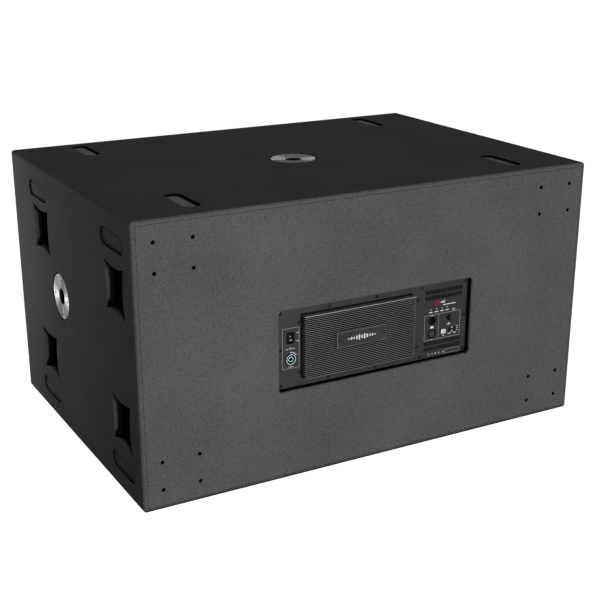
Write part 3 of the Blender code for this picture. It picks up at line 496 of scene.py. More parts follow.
def prism(outline, axis, start, end):
    return loft([[on_axis(axis, u, v, along) for u, v in outline] for along in (start, end)])


def arc(centre, radius, start, end, steps=6):
    """(growth, depth) points on an arc, with angles in degrees."""
    return [
        (centre[0] + radius * math.cos(math.radians(start + (end - start) * i / steps)),
         centre[1] + radius * math.sin(math.radians(start + (end - start) * i / steps)))
        for i in range(steps + 1)
    ]


def soft_block(outline, axis, start, direction, height, radius):
    """A block whose far edge is rounded over."""
    profile = [(0, 0)] + arc((-radius, height - radius), radius, 0, 90)
    return stack(outline, axis, start, direction, profile)


def pocket(outline, axis, face, inwards, lip, depth, floor=0.0):
    """A cutter whose mouth is rounded over, and whose floor, if it has one, has a round corner."""
    profile = [(lip, -PAST)] + arc((lip, lip), lip, 270, 180, 8)
    if floor:
        profile += arc((-floor, depth - floor), floor, 0, 90)
    else:
        profile.append((0, depth))
    return stack(outline, axis, face, inwards, profile)


def turned(profile, axis, centre, direction=1, segments=ROUND):
    """Spins (radius, depth) points about an axis. A profile that starts on the axis is open."""
    shape = bmesh.new()
    first = "XYZ".index(axis)
    along = Vector([float(i == first) for i in range(3)])
    out = Vector([float(i == (first + 1) % 3) for i in range(3)])
    points = [shape.verts.new(Vector(centre) + out * r + along * d * direction) for r, d in profile]
    edges = [shape.edges.new(pair) for pair in zip(points, points[1:])]
    if profile[0][0] > 0:
        edges.append(shape.edges.new((points[-1], points[0])))
    bmesh.ops.spin(shape, geom=points + edges, cent=centre, axis=along, angle=math.tau,
                   steps=segments, use_merge=True)
    bmesh.ops.remove_doubles(shape, verts=shape.verts, dist=1e-6)
    return shape


def together(shapes):
    joined = bmesh.new()
    for shape in shapes:
        bmesh.ops.recalc_face_normals(shape, faces=shape.faces)
        mesh = bpy.data.meshes.new("part")
        shape.to_mesh(mesh)
        shape.free()
        joined.from_mesh(mesh)
        bpy.data.meshes.remove(mesh)
    return joined


def moved(shape, matrix):
    bmesh.ops.transform(shape, matrix=matrix, verts=shape.verts)
    return shape


# ------------------------------------------------------------------ pieces
def link(name, shape):
    bmesh.ops.recalc_face_normals(shape, faces=shape.faces)
    mesh = bpy.data.meshes.new(name)
    shape.to_mesh(mesh)
    shape.free()
    obj = bpy.data.objects.new(name, mesh)
    bpy.context.scene.collection.objects.link(obj)
    return obj


def apply_modifiers(obj):
    graph = bpy.context.evaluated_depsgraph_get()
    mesh = bpy.data.meshes.new_from_object(obj.evaluated_get(graph))
    obj.modifiers.clear()
    obj.data = mesh


def combine(obj, operation, shapes):
    """Cuts the shapes from the object, or fuses them on, and applies the result."""
    other = link("tool", together(shapes))
    modifier = obj.modifiers.new(operation, "BOOLEAN")
    modifier.operation = operation
    modifier.object = other
    apply_modifiers(obj)
    bpy.data.objects.remove(other)


def piece(name, shape, material, body="cabinet", replaces=(), cuts=(), joins=(), soften=0.0):
    """Makes a shown piece: shapes fused on, then cut, sharp edges softened, and placed on its body."""
    obj = link(name, shape)
    if joins:
        combine(obj, "UNION", joins)
    if cuts:
        combine(obj, "DIFFERENCE", cuts)
    if soften:
        bevel = obj.modifiers.new("soften", "BEVEL")
        bevel.width = soften
        bevel.segments = 3
        bevel.limit_method = "ANGLE"
        bevel.angle_limit = SMOOTH_BELOW
        apply_modifiers(obj)
    obj.data.materials.clear()
    obj.data.materials.append(MATERIALS[material])
    obj.data.shade_smooth()
    obj.data.set_sharp_from_angle(angle=SMOOTH_BELOW)
    normals = obj.modifiers.new("flat faces stay flat", "WEIGHTED_NORMAL")
    normals.keep_sharp = True
    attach(obj, body)
    if replaces:
        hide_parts(*replaces)
    return obj


def on_plate(at):
    """World position of a point on the amplifier plate's face."""
    return (plate_centre.x + at[0], plate_face, plate_centre.z + at[1])


def from_plate(node):
    """A node's centre, measured from the amplifier plate's centre."""
    centre = middle(*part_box(node)) - plate_centre
    return centre.x, centre.z


def seat(node):
    """Where a node meets the amplifier plate's face, at the middle of its box."""
    return Vector(on_plate(from_plate(node)))


def spun(name, profile, centre, material, **settings):
    """A piece turned about a line that runs front to back."""
    return piece(name, turned(profile, "Y", centre), material, **settings)


def plate_block(at, size, out, behind):
    """A plain block through or on the amplifier plate."""
    x, _, z = on_plate(at)
    half_x, half_z = size[0] / 2, size[1] / 2
    outline = [(x - half_x, z - half_z), (x + half_x, z - half_z), (x + half_x, z + half_z),
               (x - half_x, z + half_z)]
    return prism(outline, "Y", plate_face - out, plate_face + behind)


def screw(centre, axis, outwards, radius, height):
    """A pan-head screw with a cross recess, standing on the point at its centre."""
    dome = arc((0, 0), 1.0, 0, 90, 8)
    profile = [(0, height)] + [(radius * u, height * (0.35 + 0.65 * v)) for u, v in reversed(dome)][1:]
    profile += [(radius, 0.0), (0, 0.0)]
    head = link("head", turned(profile, axis, centre, outwards, 32))
    first = "XYZ".index(axis)
    bars = []
    for side in ((first + 1) % 3, (first + 2) % 3):
        size = [0.0, 0.0, 0.0]
        size[first] = height
        size[side] = radius * 1.1
        size[3 - first - side] = radius * 0.24
        bar = bmesh.new()
        bmesh.ops.create_cube(bar, size=1)
        bmesh.ops.scale(bar, verts=bar.verts, vec=size)
        place = Vector(centre)
        place[first] += outwards * height * 0.95
        bmesh.ops.translate(bar, verts=bar.verts, vec=place)
        bars.append(bar)
    for bar in bars:
        combine(head, "DIFFERENCE", [bar])
    shape = bmesh.new()
    shape.from_mesh(head.data)
    bpy.data.objects.remove(head)
    return shape


# ------------------------------------------------------------------ cabinet
def rounded_block():
    block = bmesh.new()
    bmesh.ops.create_cube(block, size=1)
    bmesh.ops.scale(block, verts=block.verts, vec=high - low)
    bmesh.ops.bevel(block, geom=block.edges[:], offset=EDGE_RADIUS, segments=12, profile=0.5,
                    affect="EDGES")
    bmesh.ops.translate(block, verts=block.verts, vec=core)
    return block


def wedge(side_x, side_z):
    """The mitred slice of the cabinet that belongs to one panel."""
    past = 0.03
    half_w, half_h = (high.x - low.x) / 2, (high.z - low.z) / 2
    if side_z:
        near, far = core.z + side_z * (half_h - wall), core.z + side_z * (half_h + past)
        wide, narrow = half_w + past, half_w - wall
        outline = [(-wide, far), (wide, far), (narrow, near), (-narrow, near)]
    else:
        near, far = side_x * (half_w - wall), side_x * (half_w + past)
        wide, narrow = half_h + past, half_h - wall
        outline = [(far, core.z - wide), (far, core.z + wide), (near, core.z + narrow),
                   (near, core.z - narrow)]
    return prism(outline, "Y", low.y - past, high.y + past)


def rebate():
    half_x, half_z = (high.x - low.x) / 2 - REBATE_RIM, (high.z - low.z) / 2 - REBATE_RIM
    outline = rounded_rectangle((core.x, core.z), 2 * half_x, 2 * half_z, 0.001, 1)
    return prism(outline, "Y", low.y - 0.03, low.y + wall)


def wrap_panel(name, side_x, side_z, cuts=()):
    obj = link("slice", wedge(side_x, side_z))
    combine(obj, "INTERSECT", [rounded_block()])
    combine(obj, "DIFFERENCE", [rebate()])
    shape = bmesh.new()
    shape.from_mesh(obj.data)
    bpy.data.objects.remove(obj)
    return piece(name + "_finished", shape, "cabinet_paint", replaces=[name], cuts=cuts)


def socket_recess(axis, face, inwards, place):
    """The round recess for a pole socket, with a hole through the panel in its floor."""
    hole, edge = SOCKET_HOLE - RECESS_RADIUS, 0.001
    profile = [(edge, -PAST)] + arc((edge, edge), edge, 270, 180, 8)
    profile += arc((-edge, RECESS_DEPTH - edge), edge, 0, 90) + [(hole, RECESS_DEPTH), (hole, 0.03)]
    return [stack(circle(place, RECESS_RADIUS, ROUND), axis, face, inwards, profile)]


def stacking_cuts(axis, face, inwards, socket, feet):
    """A pole socket's recess, and the slots that take another cabinet's feet."""
    cuts = socket_recess(axis, face, inwards, centre_across(axis, socket))
    for node in feet:
        outline = stadium(centre_across(axis, node), *SLOT_SIZE, turned_up=axis == "Z")
        cuts.append(pocket(outline, axis, face, inwards, SLOT_LIP, SLOT_DEPTH[axis], SLOT_FLOOR))
    return cuts


def make_cabinet():
    base_feet, side_feet = nodes_named("foot_"), nodes_named("side_foot_")
    wrap_panel("top_panel", 0, 1, stacking_cuts("Z", high.z, -1, "pole_socket_top", base_feet))
    wrap_panel("bottom_panel", 0, -1)
    for side_name, face, side in (("left", low.x, -1), ("right", high.x, 1)):
        cuts = []
        for node in nodes_named(f"handle_cup_{side_name}"):
            outline = bowed_square(centre_across("X", node), HANDLE_HALF, HANDLE_SAG)
            cuts.append(pocket(outline, "X", face, -side, HANDLE_LIP, wall + PAST))
        if side_name == "left":
            cuts += stacking_cuts("X", face, 1, "pole_socket_side", side_feet)
        wrap_panel(f"{side_name}_panel", side, 0, cuts)
    make_feet(base_feet, side_feet)
    # Pale patches on the floors of the top slots, lighter than the panel around them.
    floor = high.z - SLOT_DEPTH["Z"]
    pads = []
    for node in base_feet:
        pad = stadium(centre_across("Z", node), *PALE_PATCH_SIZE, turned_up=True)
        pads.append(prism(pad, "Z", floor - 0.0002, floor + 0.0001))
    piece("slot_floor_patches", together(pads), "pale_floor_paint")


def make_feet(base_feet, side_feet):
    """Skids with a rounded edge, each held by two countersunk screws."""
    heads = []
    for node in base_feet + side_feet:
        start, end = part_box(node)
        axis, outwards = ("Z", -1) if node in base_feet else ("X", 1)
        level = "XYZ".index(axis)
        face, tip = (start[level], end[level])[::outwards]
        length, width = sorted(flat(axis, end - start), reverse=True)
        place, upright = centre_across(axis, node), axis == "Z"
        holes = []
        for step in (-0.3 * length, 0.3 * length):
            spot = (place[0], place[1] + step) if upright else (place[0] + step, place[1])
            holes.append(pocket(circle(spot, 0.0055, 32), axis, tip, -outwards, 0.0008, 0.0045, 0.0004))
            sunk = on_axis(axis, *spot, tip - outwards * 0.0046)
            heads.append(screw(sunk, axis, outwards, 0.0045, 0.0018))
        outline = stadium(place, length, width, turned_up=upright)
        skid = soft_block(outline, axis, face, outwards, abs(tip - face), 0.0032)
        piece(node + "_skid", skid, "rubber", replaces=[node], cuts=holes)
    piece("foot_screws", together(heads), "motor_steel")


def make_handle_cups():
    """Deep moulded trays with round corners behind the hand holes."""
    for node in nodes_named("handle_cup_"):
        start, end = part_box(node)
        side = -1 if end.x < 0 else 1
        mouth = start.x if side < 0 else end.x
        depth = end.x - start.x
        centre = centre_across("X", node)
        flange = (end.z - start.z) / 2 - CUP_INNER
        outline = rounded_rectangle(centre, 2 * CUP_INNER, 2 * CUP_INNER, CUP_CORNER, 8)
        skin, bend = 0.0025, 0.010
        profile = arc((-bend, depth - skin - bend), bend, 90, 0)
        profile += [(0, 0), (flange, 0), (flange, skin), (skin, skin)]
        profile += arc((skin - bend, depth - bend), bend, 0, 90)
        tray = stack(outline, "X", mouth, -side, profile)
        hole = bowed_square(centre, HANDLE_HALF, HANDLE_SAG)
        gap, liner = 0.0004, 0.0016
        reach = wall - HANDLE_PAINTED
        sleeve = stack(hole, "X", mouth, side,
                       [(-gap, 0), (-gap, reach), (-liner, reach), (-liner, 0)], joined=True)
        piece(node + "_tray", together([tray, sleeve]), "cup_plastic", replaces=[node])


def make_rear_panel():
    start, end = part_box("rear_panel")
    opening = face_outline("amp_plate", PLATE_CORNER + OPENING_MARGIN, 8, inset=-OPENING_MARGIN)
    cuts = [pocket(opening, "Y", start.y, 1, OPENING_LIP, wall + PAST)]
    for mount in frame["record"]["mounts"]:
        if not mount["name"].startswith("castor_pad"):
            continue
        x, _, z = mount["pos_m"]
        for column in (-0.5, 0.5):
            for row in (-0.5, 0.5):
                hole = circle((x + column * CASTOR_PITCH[0], z + row * CASTOR_PITCH[1]), CASTOR_HOLE, 28)
                cuts.append(pocket(hole, "Y", start.y, 1, 0.0005, wall + PAST))
    shape = soft_block(face_outline("rear_panel", 0.0035, 3), "Y", end.y, -1, end.y - start.y, PANEL_ROUND)
    piece("rear_panel_finished", shape, "cabinet_paint", replaces=["rear_panel"], cuts=cuts)


def make_pole_sockets():
    """Turned dishes: a rounded rim, a shallow cone down to the bore, and four screws."""
    for node, axis, inwards in (("pole_socket_top", "Z", -1), ("pole_socket_side", "X", 1)):
        start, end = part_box(node)
        level = "XYZ".index(axis)
        radius, depth = max(flat(axis, end - start)) / 2, (end - start)[level]
        centre = middle(start, end)
        centre[level] = start[level] if inwards > 0 else end[level]
        rim, dish, tube = 0.0011, 0.0013, 0.021
        profile = [(0, depth - 0.003), (SOCKET_BORE, depth - 0.003), (SOCKET_BORE, dish + 0.0014)]
        profile += [(SOCKET_BORE + 0.0012, dish), (radius - 0.0055, 0.0004), (radius - 0.0045, 0.0)]
        profile += [(radius - rim + x, rim + y) for x, y in arc((0, 0), rim, -90, 0)]
        profile += [(radius, 0.003), (tube, 0.003), (tube, depth), (0, depth)]
        screws, holes = [], []
        for step in circle((0, 0), SOCKET_SCREW_CIRCLE, 4):
            spot = centre + Vector(on_axis(axis, *step, 0))
            sunk = spot + Vector(on_axis(axis, 0, 0, inwards * 0.0021))
            holes.append(pocket(circle(flat(axis, spot), 0.0041, 32), axis, spot[level], inwards,
                                0.0004, 0.0022, 0.0002))
            screws.append(screw(sunk, axis, -inwards, SOCKET_SCREW, 0.0017))
        piece(node + "_cup", turned(profile, axis, centre, inwards), f"turned_{axis.lower()}",
              replaces=[node], cuts=holes)
        piece(node + "_screws", together(screws), "motor_steel")


# ------------------------------------------------------------------ perforated sheets
def perforated(width, height, pitch, row, web, rim, thickness, place):
    """A sheet with staggered rows of six-sided holes. Place maps (u, v, out) to world coordinates."""
    columns = int((width - 2 * rim) / pitch)
    rows = int((height - 2 * rim - row / 3) / row)
    edge_u, edge_v = width / 2, height / 2
    first_v = -(rows - 1) * row / 2
    shape = bmesh.new()
    shared = {}

    def corner(u, v):
        key = (round(u, 6), round(v, 6))
        if key not in shared:
            shared[key] = shape.verts.new(place(u, v, 0.0))
        return shared[key]

    sides = {-1: [], 1: []}
    for r in range(rows):
        centre_v = first_v + r * row
        count = columns - r % 2
        cell = [(0, -2 * row / 3), (pitch / 2, -row / 3), (pitch / 2, row / 3), (0, 2 * row / 3),
                (-pitch / 2, row / 3), (-pitch / 2, -row / 3)]
        hole = grown(cell, -web / 2)
        for c in range(count):
            centre_u = (c - (count - 1) / 2) * pitch
            outer = []
            for u, v in cell:
                z = centre_v + v
                if r == 0 and v < 0:
                    z = -edge_v
                if r == rows - 1 and v > 0:
                    z = edge_v
                outer.append((centre_u + u, z))
            ring = [corner(*point) for point in outer]
            inner = [shape.verts.new(place(centre_u + u, centre_v + v, 0.0)) for u, v in hole]
            for i in range(6):
                j = (i + 1) % 6
                shape.faces.new((ring[i], ring[j], inner[j], inner[i]))
            if c == 0:
                sides[-1] += [outer[5], outer[4]]
            if c == count - 1:
                sides[1] += [outer[1], outer[2]]
    for side, line in sides.items():
        for (u1, v1), (u2, v2) in zip(line, line[1:]):
            ring = [corner(u1, v1), corner(u2, v2), corner(side * edge_u, v2), corner(side * edge_u, v1)]
            shape.faces.new(ring)
    back = bmesh.ops.extrude_face_region(shape, geom=shape.faces[:])["geom"]
    inwards = Vector(place(0, 0, -thickness)) - Vector(place(0, 0, 0))
    bmesh.ops.translate(shape, verts=[v for v in back if isinstance(v, bmesh.types.BMVert)], vec=inwards)
    return shape


def make_front_grille():
    """A hexagonally perforated steel face in a folded frame."""
    start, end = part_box("front_grille")
    centre = middle(start, end)
    width, height = end.x - start.x, end.z - start.z
    face, bend = end.y, 0.004
    frame_width = 0.006

    def place(u, v, out):
        return centre.x - u, face - 0.0004 + out, centre.z + v

    sheet = perforated(width - 2 * frame_width, height - 2 * frame_width, GRILLE_PITCH,
                       GRILLE_PITCH * math.sqrt(0.75), GRILLE_WEB, GRILLE_RIM, GRILLE_SHEET, place)
    outline = face_outline("front_grille", 0.006, 8)
    profile = [(-frame_width - 0.001, GRILLE_SHEET), (-frame_width - 0.001, 0)]
    profile += arc((-bend, bend), bend, -90, 0, 8)
    profile += [(0, end.y - start.y), (-GRILLE_SHEET, end.y - start.y)]
    profile += arc((-bend, bend), bend - GRILLE_SHEET, 0, -90, 8)
    shape = together([sheet, stack(outline, "Y", face, -1, profile, joined=True)])
    piece("front_grille_perforated", shape, "grille_steel", replaces=["front_grille"])


def make_heatsink():
    """Level fins with rounded tips on a base that is held behind the plate's window."""
    start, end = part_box("heatsink")
    seat, base, tip_round = 0.0015, 0.008, 0.00045
    root = end.y - base
    low_z, high_z = plate_centre.z + HEAT_WINDOW[1] - seat, plate_centre.z + HEAT_WINDOW[3] + seat
    outline = [(end.y, low_z), (end.y, high_z), (root, high_z)]
    lowest = plate_centre.z - ((FIN_COUNT - 1) * FIN_PITCH + FIN_THICKNESS) / 2
    for i in reversed(range(FIN_COUNT)):
        low_face = lowest + i * FIN_PITCH
        high_face = low_face + FIN_THICKNESS
        tip = start.y + tip_round
        outline.append((root, high_face))
        outline += [(tip - tip_round * math.sin(turn), high_face - tip_round * (1 - math.cos(turn)))
                    for turn in (0.0, 0.8, math.pi / 2)]
        outline += [(tip - tip_round * math.cos(turn), low_face + tip_round * (1 - math.sin(turn)))
                    for turn in (0.0, 0.8, math.pi / 2)]
        outline.append((root, low_face))
    outline.append((root, low_z))
    ends = [[(x, y, z) for y, z in outline] for x in (start.x, end.x)]
    piece("heatsink_fins", loft(ends), "black_anodised", replaces=["heatsink"])
    # A painted highlight: a pale strip along the top fin's tip.
    z = lowest + (FIN_COUNT - 1) * FIN_PITCH + FIN_THICKNESS / 2
    edge = rounded_rectangle(((start.x + end.x) / 2, z), end.x - start.x, FIN_THICKNESS * 0.9, 0.0003, 2)
    piece("heatsink_fin_highlight", prism(edge, "Y", start.y - 0.00015, start.y + 0.0006), "fin_tip_highlight")


# ------------------------------------------------------------------ drivers
def make_driver(name):
    """Cone, cap, surround and spider are turned at full detail; the rest keeps its CAD shape."""
    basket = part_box(f"{name}_basket")
    rim_face = basket[1].y - 0.008  # the baffle's face, where every driver depth starts
    centre = Vector(((basket[0].x + basket[1].x) / 2, rim_face, core.z))
    cone_body = name.replace("driver", "cone")
    edge, neck = (0.188, -0.0045), (0.0550, 0.0705)
    front, back = [], []
    steps = 40
    for i in range(steps + 1):
        share = i / steps
        radius = edge[0] + (neck[0] - edge[0]) * share
        bow = 0.0030 * math.sin(math.pi * share)
        rib = 0.0007 * math.cos(share * math.tau * 6) * (1 if 0.08 < share < 0.92 else 0)
        depth = edge[1] + (neck[1] - edge[1]) * share - bow
        front.append((radius, depth + rib))
        back.append((radius, depth + rib + 0.0014))
    cone = turned(front + list(reversed(back)), "Y", centre, -1)
    piece(f"{name}_cone_ribbed", cone, "cone_paper", cone_body, replaces=[f"{name}_cone"])
    cap_radius, crown = 0.0640, 0.0165
    turns = [math.radians(90) * i / 16 for i in range(17)]
    dome = [(cap_radius * math.sin(turn), crown * math.cos(turn)) for turn in turns]
    top = [(r, 0.0646 - h) for r, h in dome]
    under = [(r * 0.975, 0.0660 - h) for r, h in reversed(dome)]
    cap = turned(top + under, "Y", centre, -1)
    piece(f"{name}_dust_cap_domed", cap, "cone_paper", cone_body, replaces=[f"{name}_dust_cap"])
    make_flexing(f"{name}_surround", "rolled", "surround_cloth", centre, surround_profile(),
                 0.1885, 0.2064)
    make_flexing(f"{name}_spider", "corrugated", "spider_cloth", centre, spider_profile(),
                 0.0530, 0.1120)
    heads, holes = [], []
    for x, z in circle((centre.x, centre.z), DRIVER_SCREW_CIRCLE, DRIVER_SCREWS, 180 / DRIVER_SCREWS):
        heads.append(screw((x, centre.y + 0.008, z), "Y", 1, 0.0045, 0.003))
        holes.append(prism(circle((x, z), 0.0052, 24), "Y", centre.y + 0.007, centre.y + 0.012))
    piece(f"{name}_screws", together(heads), "screw_black")
    gasket = [(0.2190, -0.0105), (0.2280, -0.0105), (0.2290, -0.0095), (0.2290, -0.0082),
              (0.2182, -0.0082), (0.2182, -0.0095)]
    piece(f"{name}_gasket", turned(gasket, "Y", centre, -1), "rubber", cuts=holes)


def surround_profile():
    """Two rolls of treated cloth between a flat inner flange and a flat outer flange."""
    cloth = 0.0011
    line = [(0.1785, -0.0066), (0.1880, -0.0068)]
    for first, last in ((0.1890, 0.1975), (0.1975, 0.2060)):
        for i in range(1, 10):
            share = i / 10
            line.append((first + (last - first) * share, -0.0075 - 0.0062 * math.sin(math.pi * share)))
        line.append((last, -0.0078))
    line += [(0.2075, -0.0090), (0.2175, -0.0091)]
    return line + [(r, d + cloth) for r, d in reversed(line)]


def spider_profile():
    """Six concentric corrugations between the voice coil and the basket's ledge."""
    cloth = 0.0008
    line = []
    for i in range(61):
        share = i / 60
        swing = 0.0028 * math.sin(share * math.tau * 5) * min(1.0, 6 * share, 6 * (1 - share))
        line.append((0.0524 + 0.0604 * share, 0.0920 + swing))
    return line + [(r, d + cloth) for r, d in reversed(line)]


def make_flexing(node, look, material, centre, profile, inner, outer):
    """A turned ring that spans from the cone's edge to the basket."""
    obj = link(f"{node}_{look}", turned(profile, "Y", centre, -1))
    obj.data.materials.append(MATERIALS[material])
    obj.data.shade_smooth()
    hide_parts(node)
    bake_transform(obj)
    for vertex in obj.data.vertices:
        offset = vertex.co - centre
        share = (math.hypot(offset.x, offset.z) - outer) / (inner - outer)
        share = min(1.0, max(0.0, share))


# ------------------------------------------------------------------ amplifier plate
def make_plate():
    outline = face_outline("amp_plate", PLATE_CORNER, 8)
    thickness = plate_box[1].y - plate_box[0].y
    past = 0.001
    behind = thickness + past
    low_x, low_z, high_x, high_z = HEAT_WINDOW
    cuts = [plate_block(((low_x + high_x) / 2, (low_z + high_z) / 2), (high_x - low_x, high_z - low_z),
                        past, behind)]
    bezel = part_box("rocker_bezel")
    bezel_hole = (bezel[1].x - bezel[0].x - 0.0008, bezel[1].z - bezel[0].z - 0.0008)
    cuts.append(plate_block(from_plate("rocker_bezel"), bezel_hole, past, behind))
    cuts.append(plate_block(from_plate("usb_socket"), (0.0128, 0.0109), past, behind))
    for node in ("phase_slider", "filter_slider"):
        at = (from_plate(node)[0], slider_middle())
        cuts.append(plate_block(at, SLIDER_SLOT, past, behind))
    for node, radius in (("power_inlet", 0.0112), ("xlr_input", 0.0110), ("xlr_output", 0.0100),
                         ("gain_knob", 0.0036)):
        hole = circle(centre_across("Y", node), radius, 40)
        cuts.append(prism(hole, "Y", plate_face - past, plate_face + behind))
    for row in VENT_ROWS:
        for i in range(VENT_COUNT):
            cuts.append(plate_block((VENT_FIRST + i * VENT_PITCH, row), VENT_SIZE, past, behind))
    shape = soft_block(outline, "Y", plate_box[1].y, -1, thickness, 0.0006)
    piece("amp_plate_finished", shape, "plate_paint", replaces=["amp_plate"], cuts=cuts)
    # Dark pads just behind the vent rows, standing in for the shade inside the amplifier.
    across = VENT_FIRST + VENT_PITCH * (VENT_COUNT - 1) / 2
    pads = [plate_block((across, (VENT_ROWS[i] + VENT_ROWS[i + 1]) / 2), (0.104, 0.028), -0.0032, 0.0052)
            for i in (0, 2)]
    piece("vent_shade_pads", together(pads), "cup_plastic")
    gasket = [(0.0019, 0), (0.0019, 0.00025), (-0.004, 0.00025), (-0.004, 0)]
    piece("plate_gasket", stack(outline, "Y", plate_box[1].y, 1, gasket, joined=True), "rubber")
    heads = [screw(on_plate(at), "Y", -1, 0.0036, 0.0019) for at in PLATE_SCREWS]
    piece("plate_screws", together(heads), "screw_black")


def slider_middle():
    """Height of the slide switches' slots, from the plate's centre."""
    return from_plate("filter_slider")[1]


def make_nameplate():
    """A bevelled plate with a plain level-meter mark, held by two screws."""
    start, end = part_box("nameplate")
    centre = middle(start, end)
    outline = face_outline("nameplate", 0.0015, 4)
    thickness = end.y - start.y
    profile = [(0, 0), (0, thickness - 0.0011), (-0.0011, thickness - 0.0002), (-0.0015, thickness)]
    piece("nameplate_bevelled", stack(outline, "Y", end.y, -1, profile), "nameplate_aluminium",
          replaces=["nameplate"])
    # A painted highlight: a pale strip round the plate's bevel.
    rim = [(-0.0002, thickness - 0.0013), (-0.0002, thickness - 0.0008), (-0.0009, thickness - 0.0002),
           (-0.0014, thickness - 0.0002)]
    piece("nameplate_bevel_highlight", stack(outline, "Y", end.y, -1, rim, joined=True), "bevel_highlight")
    spots = [(centre.x + side * 0.0535, start.y, centre.z) for side in (-1, 1)]
    piece("nameplate_screws", together([screw(spot, "Y", -1, 0.0021, 0.0011) for spot in spots]),
          "screw_black")
    bars = []
    for i, tall in enumerate(NAMEPLATE_BARS):
        x = centre.x + (i - (len(NAMEPLATE_BARS) - 1) / 2) * 0.0064
        bar = rounded_rectangle((x, centre.z), 0.0034, tall, 0.0009, 4)
        bars.append(prism(bar, "Y", start.y - 0.0002, start.y + 0.0002))
    piece("nameplate_mark", together(bars), "ink_white")


def make_rocker():
    start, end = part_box("rocker_bezel")
    joint = next(j for j in frame["joints"] if j["name"] == "rocker_tilt")
    pivot = Vector(joint["pos_m"])
    width, height = end.x - start.x, end.z - start.z
    outline = face_outline("rocker_bezel", 0.0016, 5)
    cavity = face_outline("rocker_bezel", 0.0006, 3, inset=0.0015)
    neck = face_outline("rocker_bezel", 0.0010, 3, inset=0.0006)
    shape = soft_block(outline, "Y", plate_face - 0.0002, -1, plate_face - start.y - 0.0002, 0.0009)
    piece("rocker_bezel_moulded", shape, "dull_plastic", replaces=["rocker_bezel"],
          joins=[prism(neck, "Y", plate_face - 0.0006, end.y)],
          cuts=[prism(cavity, "Y", start.y - 0.001, end.y - 0.0025)], soften=0.0002)
    half_x, half_z = width / 2 - 0.0021, height / 2 - 0.0025
    face, dip, steps = -0.0062, -0.0034, 12
    profile = []
    for i in range(steps + 1):
        share = 1 - 2 * i / steps
        profile.append((dip + (face - dip) * abs(share) ** 1.6, half_z * share))
    profile += [(0.0, -half_z + 0.0006), (0.005, -0.004), (0.005, 0.004), (0.0, half_z - 0.0006)]
    ends = [[(x, out, z) for out, z in profile] for x in (-half_x, half_x)]
    tilt = Matrix.Translation(pivot) @ Matrix.Rotation(math.radians(-10), 4, "X")
    piece("rocker_paddle_moulded", moved(loft(ends), tilt), "dull_plastic", "rocker",
          replaces=["rocker_paddle"], soften=0.0004)
    stroke = prism(rounded_rectangle((0, 0.0026), 0.0013, 0.0044, 0.0003, 2), "Y", -0.0001, 0.0001)
    oval = stack(circle((0, -0.0066), 0.0027, 32), "Y", -0.0001, 1,
                 [(0, 0), (0, 0.0002), (-0.0010, 0.0002), (-0.0010, 0)], joined=True)
    marks = []
    for mark, z in ((stroke, 0.0026), (oval, -0.0066)):
        share = abs(z) / half_z
        out = dip + (face - dip) * share ** 1.6 - 0.00012
        slope = math.atan((face - dip) * 1.6 * share ** 0.6 / half_z) * math.copysign(1, z)
        turn = Matrix.Rotation(slope, 4, "X")
        lean = Matrix.Translation((0, out, z)) @ turn @ Matrix.Translation((0, 0, -z))
        marks.append(moved(mark, tilt @ lean))
    piece("rocker_marks", together(marks), "ink_white", "rocker")


def make_power_inlet():
    """A round locking inlet: a pale rim, a dark ring-shaped socket and a pale ring on its core."""
    centre, at = seat("power_inlet"), from_plate("power_inlet")
    flange = [(0.0086, 0.010), (0.0086, -0.0014), (0.0096, -0.0018), (0.0096, -0.0022), (0.0124, -0.0022),
              (0.0128, -0.0017), (0.0128, -0.0002), (0.0108, -0.0002), (0.0108, 0.012)]
    keys = [plate_block(spot, (0.0026, 0.0026), 0.003, 0.006) for spot in circle(at, 0.0086, 3, 65)]
    spun("power_inlet_flange", flange, centre, "dull_plastic", replaces=["power_inlet"], cuts=keys)
    rim = [(0.0097, -0.0018), (0.0097, -0.0023), (0.0099, -0.0026), (0.0107, -0.0026),
           (0.0110, -0.0023), (0.0110, -0.0018)]
    spun("power_inlet_rim", rim, centre, "inlet_blue")
    well = [(0, 0.0130), (0.0082, 0.0130), (0.0082, 0.0105), (0.0107, 0.0105), (0.0107, 0.024),
            (0, 0.024)]
    spun("power_inlet_well", well, centre, "dull_plastic")
    plug_core = [(0, 0.0060), (0.0041, 0.0060), (0.0041, -0.0008), (0.0056, -0.0008),
                 (0.0058, -0.0004), (0.0058, 0.0128), (0, 0.0128)]
    spun("power_inlet_core", plug_core, centre, "dull_plastic")
    ring = [(0.0044, -0.0007), (0.0044, -0.0011), (0.0055, -0.0011), (0.0055, -0.0007)]
    spun("power_inlet_ring", ring, centre, "inlet_blue")


def make_xlr_input():
    """The lower XLR socket: a solid grey face with three holes and a slot for its latch."""
    centre, at = seat("xlr_input"), from_plate("xlr_input")
    holes = []
    for spot in circle((centre.x, centre.z - 0.001), 0.0035, 3, 90):
        holes.append(pocket(circle(spot, 0.0013, 20), "Y", centre.y - 0.0009, 1, 0.0003, 0.010))
    holes.append(plate_block((at[0], at[1] + 0.0082), (0.0066, 0.0060), 0.002, 0.008))
    insert = [(0, -0.0009), (0.0069, -0.0009), (0.0072, -0.0006), (0.0072, 0.0), (0, 0.0)]
    spun("xlr_input_insert", insert, centre, "socket_grey", cuts=[hole.copy() for hole in holes])
    shell = [(0, -0.0004), (0.0074, -0.0004), (0.0078, 0.0014), (0.0086, 0.0014), (0.0089, -0.0012),
             (0.0100, -0.0012), (0.0106, -0.0006), (0.0106, 0.022), (0, 0.022)]
    spun("xlr_input_shell", shell, centre, "dull_plastic", replaces=["xlr_input"], cuts=holes)
    start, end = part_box("xlr_latch")
    tab = soft_block(face_outline("xlr_latch", 0.0004, 3), "Y", end.y, -1, end.y - start.y, 0.0004)
    piece("xlr_latch_tab", tab, "motor_steel", "latch", replaces=["xlr_latch"])


